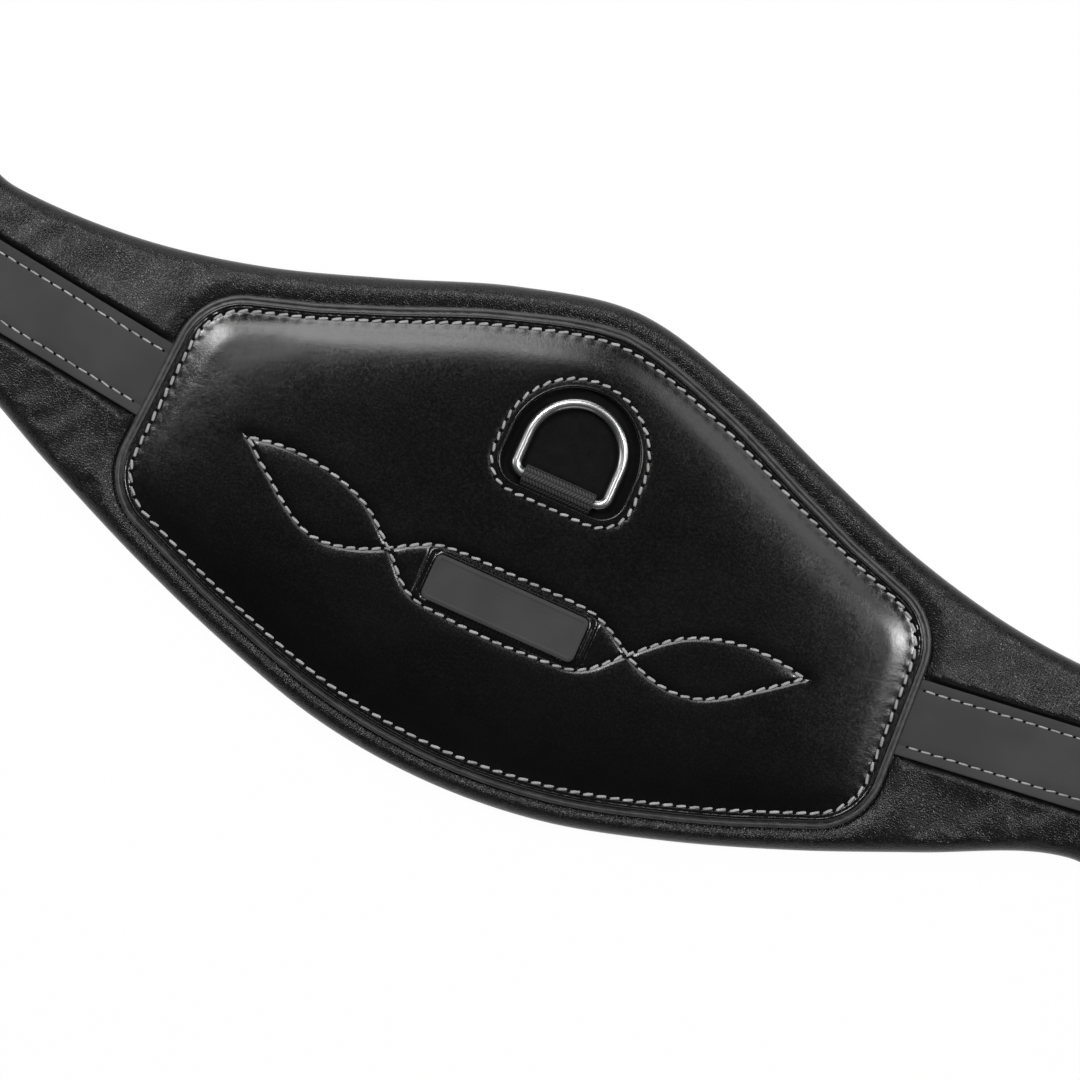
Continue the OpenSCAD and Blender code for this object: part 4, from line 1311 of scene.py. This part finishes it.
def tongue_shape():
    """Round eye on the heel bar, and a shank that tapers a little and ends in a dome over the roller."""
    shank, tip = 31.9, 1.6
    eye = rounded_loop((ROLLER_R - BORE_R), 4.2, 0.5) + [(ROLLER_R + BORE_R) / 2, 0]
    dome = shank + tip * np.sin(np.linspace(0.1, np.pi / 2 - 0.03, 12))
    u = np.concatenate([np.linspace(2.7, shank, 40), dome])
    thin_out = 1.52 * np.sqrt(np.clip(1 - ((u - shank) / tip) ** 2, 0, 1))
    thick = np.where(u < shank, 1.58 - 0.06 * smooth(u, 8, 30), thin_out)
    path = np.stack([u * np.cos(TILT), 0 * u, u * np.sin(TILT)], 1)
    section = circle(1, 20)[None] * thick[:, None, None]
    return together(turned(eye, 40), sweep(path, section))


roller_wall = rounded_loop(ROLLER_R - BORE_R, 2 * ROLLER_HALF, 0.42) + [(ROLLER_R + BORE_R) / 2, 0]
roller_shape = turned(roller_wall, 56, (BUCKLE_LENGTH, 0.0))
for key, (side, row) in ENDS.items():
    add_piece(f"chape_leather_{key}", from_heel(chape_shape, side, row), f"pull_{key}", EDGE,
              [f"chape_{key}"], sharp=70)
    add_piece(f"buckle_wire_{key}", from_heel(frame_shape, side, row), f"buckle_{key}", STEEL,
              [f"frame_{key}"])
    add_piece(f"buckle_tongue_{key}", from_heel(tongue_shape(), side, row), f"prong_{key}", STEEL,
              [f"tongue_{key}"], sharp=50)
    add_piece(f"buckle_roller_{key}", from_heel(roller_shape, side, row), f"spinner_{key}", STEEL,
              [f"roller_{key}"], sharp=50)


# %% [markdown]
# ## Stitching
# Every seam is sewn with real stitches: each is a small two-ply body that rises out of one needle hole and
# dives into the next, a little slanted, as a lockstitch lies. One stitch is made once and copied by arrays of
# places and directions. The holes are slanted, nearly black ovals laid in the leather, their black a painted
# shade for the dark inside of each hole. A dashed pattern on the leather would be lighter, but the eye
# follows the seams on this girth, and only real thread stands out of its channel and casts a shadow.
# %% One stitch and one hole
def stitch_body():
    """Seven rings along the stitch. Each ring is a waisted oval, and it turns a little from ring to ring,
    so that two plies seem to wind round one another."""
    u = np.array([-1, -0.94, -0.7, 0.0, 0.7, 0.94, 1])[:, None]
    turn = (np.arange(7) / 7 * 2 * np.pi)[None]
    fat = (1 - 0.35 * u ** 12) * (0.9 + 0.1 * np.cos(2 * (turn - 1.5 * u)))
    high = 0.85 * fat * np.sin(turn) + 0.25 * (1 - u * u) - 0.2 * u ** 8
    return skin(np.stack([u + 0 * turn, fat * np.cos(turn), high], -1))


def hole_body():
    """Shallow dome over an oval: a rim, a smaller ring above it, and a fan at the top and below."""
    turn = (np.arange(8) / 8 * 2 * np.pi)[None]
    size, high = np.array([[0.6], [1.0], [0.62]]), np.array([[-0.6], [0.0], [0.55]])
    return skin(np.stack([size * np.cos(turn), size * np.sin(turn), high + 0 * turn], -1))


def copies(shape, frames, centres):
    """Many copies of a shape in one skin: its points times each copy's three directions, plus its centre."""
    points, faces = shape
    placed = np.einsum("pk,nkc->npc", points, frames) + centres[:, None]
    step = np.arange(len(centres)) * len(points)
    return placed.reshape(-1, 3), [(f[None] + step[:, None, None]).reshape(-1, f.shape[1]) for f in faces]


def sewn(lines, height, pitch, thick, slant, seed, cover=0.72):
    """Stitches and holes along lines. Stitches join neighbouring holes and lean by the slant; their
    directions follow the leather, whose slope comes from heights a little to each side."""
    rng = np.random.default_rng(seed)
    threads, holes = [], []
    for line, closed in lines:
        n = int(round(length_along(line, closed)[-1] / pitch))
        at = walk(line, n if closed else n + 1, closed)
        nxt = np.roll(at, -1, 0) if closed else at[1:]
        now = at if closed else at[:-1]
        for kind, place, lean in (("thread", (now + nxt) / 2, slant), ("hole", at, slant + 0.75)):
            m = len(place)
            run = nxt - now if kind == "thread" else np.gradient(at, axis=0)
            if kind == "hole" and closed:
                run = np.roll(at, -1, 0) - np.roll(at, 1, 0)
            turn = np.arctan2(run[:, 1], run[:, 0]) + lean + rng.normal(0, 0.05, m)
            ahead = np.stack([np.cos(turn), np.sin(turn)], 1)
            left = np.stack([-ahead[:, 1], ahead[:, 0]], 1)
            step = 0.9
            rise = (height(place + ahead * step) - height(place - ahead * step)) / (2 * step)
            tilt = (height(place + left * step) - height(place - left * step)) / (2 * step)
            x, y = unit(at_height(ahead, rise)), unit(at_height(left, tilt))
            up = unit(np.cross(x, y))
            z = height(place)
            if kind == "thread":
                half = np.linalg.norm(run, axis=1) * cover / 2 * rng.uniform(0.95, 1.04, m)
                wide = thick * rng.uniform(0.92, 1.08, (m, 1))
                frames = np.stack([x * half[:, None], y * wide, up * thick * 0.8], 1)
                threads.append(copies(stitch_body(), frames, at_height(place, z) + up * thick * 0.25))
            else:
                # A hole is a nearly black oval: painted shade for the dark inside of the hole.
                frames = np.stack([x * thick * 1.5, y * thick * 1.1, up * thick * 0.4], 1)
                holes.append(copies(hole_body(), frames, at_height(place, z + thick * 0.25)))
    return together(*threads), together(*holes)


def add_seam(name, shapes, body, move=lambda shape: shape):
    """Thread and holes of one seam as two pieces."""
    threads, holes = shapes
    add_piece(f"{name}_thread", move(threads), body, THREAD)
    # The holes are in the painted-shade finish, black for the dark inside of each needle hole.
    add_piece(f"{name}_holes", move(holes), body, HOLE_SHADE)


add_seam("plate_border", sewn([(BORDER, True)], plate_height, BORDER_PITCH, 0.6, 0.16, 1, 0.73), "girth")
add_seam("window_border", sewn([(ROUND_WINDOW, True)], plate_height, WINDOW_PITCH, 0.6, 0.2, 2, 0.7), "girth")
add_seam("leaf_seam", sewn([(line, False) for line in SEAMS], plate_height, 4.8, 0.6, 0.16, 3, 0.73), "girth")
for name, side in SIDES.items():
    rows = [(walk(np.array([[0.5, t], [98.5, t]]), 300, False), False) for t in (-STRAP_SEAM, STRAP_SEAM)]
    add_seam(f"strap_{name}", sewn(rows, strap_height, 5.0, 0.4, 0.06, 4, 0.72), "girth",
             move=lambda shape: from_arm(shape, side))
    yoke_seam = walk(inset(walk(YOKE_LINE, 700), CAP_SEAM), 600)
    cross = walk(np.array([[114.0, -35.0], [114.0, 35.0]]), 100, False)
    add_seam(f"yoke_{name}", sewn([(yoke_seam, True), (cross, False)], yoke_height, 4.2, 0.45, 0.1, 5),
             "girth", move=lambda shape: from_arm(shape, side))


def chape_top(p):
    """The chape's face is flat where it is sewn."""
    return np.full(len(p), PLY_HIGH + PLY / 2 - 0.16)


for key, (side, row) in ENDS.items():
    rows = [walk(np.array([[-at, -9.8], [-at, 9.8]]), 60, False) for at in (19.4, 10.6)]
    add_seam(f"chape_{key}", sewn([(r, False) for r in rows], chape_top, 3.4, 0.42, 0.1, 6), f"pull_{key}",
             move=lambda shape: from_heel(shape, side, row))


# %% [markdown]
# ## Floor, light and camera
# The girth lies on a pale floor that reads white to the camera and keeps a soft shadow. A large soft box
# beyond the front edge gives the polished plate its broad highlight, smaller ones light its two ends, and
# four low walls of light fill in the sides. A long lens looks straight down. A picture of a studio all
# round could light it instead, but a few plain lamps can be moved one at a time.
# %% Floor and world
def white_floor():
    """A pale matt floor for the lamps. The camera, mirrors and glass see 98 parts of plain white and 2
    of that floor, which keep the shadow."""
    f = Finish("white_floor")
    camera_ray = f.node("LightPath", out="Is Camera Ray")
    seen = camera_ray.apply("MAXIMUM", camera_ray.beside("Is Glossy Ray"))
    seen = seen.apply("MAXIMUM", camera_ray.beside("Is Transmission Ray"))
    plain = f.node("BsdfDiffuse", None, {"Color": (0.82, 0.82, 0.82, 1)})
    glow = f.node("Emission", None, {"Color": (1, 1, 1, 1), "Strength": 1.0})
    return f.show(f.node("MixShader", None, {0: seen * 0.98, 1: plain, 2: glow}))


FLOOR_HALF = 3000.0
floor_points = at_height(panel(-FLOOR_HALF, FLOOR_HALF, FLOOR_HALF), -0.05)
floor_mesh, _ = add_mesh("floor", floor_points, [np.array([[0, 1, 2, 3]])])
floor = bpy.data.objects.new("floor", floor_mesh)
bpy.context.collection.objects.link(floor)
floor.data.materials.append(white_floor())

world = bpy.data.worlds.new("room")
world.use_nodes = True
world.node_tree.nodes["Background"].inputs["Color"].default_value = (1, 1, 1, 1)
world.node_tree.nodes["Background"].inputs["Strength"].default_value = 0.05
bpy.context.scene.world = world
bpy.context.scene.view_settings.view_transform = "Standard"


# %% [markdown]
# ### Lamps and camera
# Polished leather mirrors the lamps themselves, so their sizes and places decide where the glow on the
# plate lies. Each is one row of a table, as the camera sees it. The lens is long, because from close by
# the camera would see the sides of the girth's two ends.
# %% Lamps and camera
VIEW_TURN = np.radians(24.1)


def soft_box(name, right, up, height, size, power):
    """Rectangular lamp at a place given as the camera sees it, turned towards the middle of the plate."""
    c, s = np.cos(VIEW_TURN), np.sin(VIEW_TURN)
    place = np.array([right * c - up * s, right * s + up * c, height])
    lamp = bpy.data.lights.new(name, "AREA")
    lamp.shape, lamp.size, lamp.size_y, lamp.energy = "RECTANGLE", size[0], size[1], power
    thing = bpy.data.objects.new(name, lamp)
    bpy.context.collection.objects.link(thing)
    back = place / np.linalg.norm(place)
    side = np.cross([-s, c, 0], back)
    side /= np.linalg.norm(side)
    high = np.cross(back, side)
    turn = np.column_stack([np.append(side, 0), np.append(high, 0), np.append(back, 0), np.append(place, 1)])
    thing.matrix_world = Matrix(turn.tolist())
    thing.visible_camera = False
    return thing


# Name, place to the right and upwards and height, size of the face, all in metres, and power in watts.
LAMPS = [
    ("front_box", -0.25, 1.04, 1.45, (0.86, 0.56), 10.4),
    ("side_box", 0.8, 0.78, 1.45, (0.5, 0.5), 2.0),
    ("corner_box", -0.46, 0.66, 1.5, (0.28, 0.42), 6.4),
    ("left_spot", -0.56, 0.57, 1.5, (0.14, 0.16), 2),
    ("right_box", 0.84, 0.1, 1.5, (0.3, 0.3), 9),
    ("right_spot", 0.84, -0.08, 1.5, (0.14, 0.14), 2.2),
    ("left_wall", -1.7, 0.3, 0.4, (1.5, 0.6), 7),
    ("right_wall", 1.7, 0.2, 0.4, (1.5, 0.6), 7),
    ("front_wall", 0.0, 1.8, 0.4, (1.5, 0.6), 6),
    ("rear_wall", 0.0, -1.7, 0.4, (1.5, 0.6), 2),
]
for lamp in LAMPS:
    soft_box(*lamp)
print("lamps:", [lamp[0] for lamp in LAMPS])

camera = bpy.data.cameras.new("camera")
camera.lens, camera.sensor_width, camera.clip_start, camera.clip_end = 400, 36, 0.05, 20
eye = bpy.data.objects.new("camera", camera)
bpy.context.collection.objects.link(eye)
eye.location = (0.0016, 0.0036, 0.015 + 0.4045 * 400 / 36)
eye.rotation_euler = (0, 0, VIEW_TURN)
bpy.context.scene.camera = eye
print("camera height in m:", round(eye.location.z, 3))
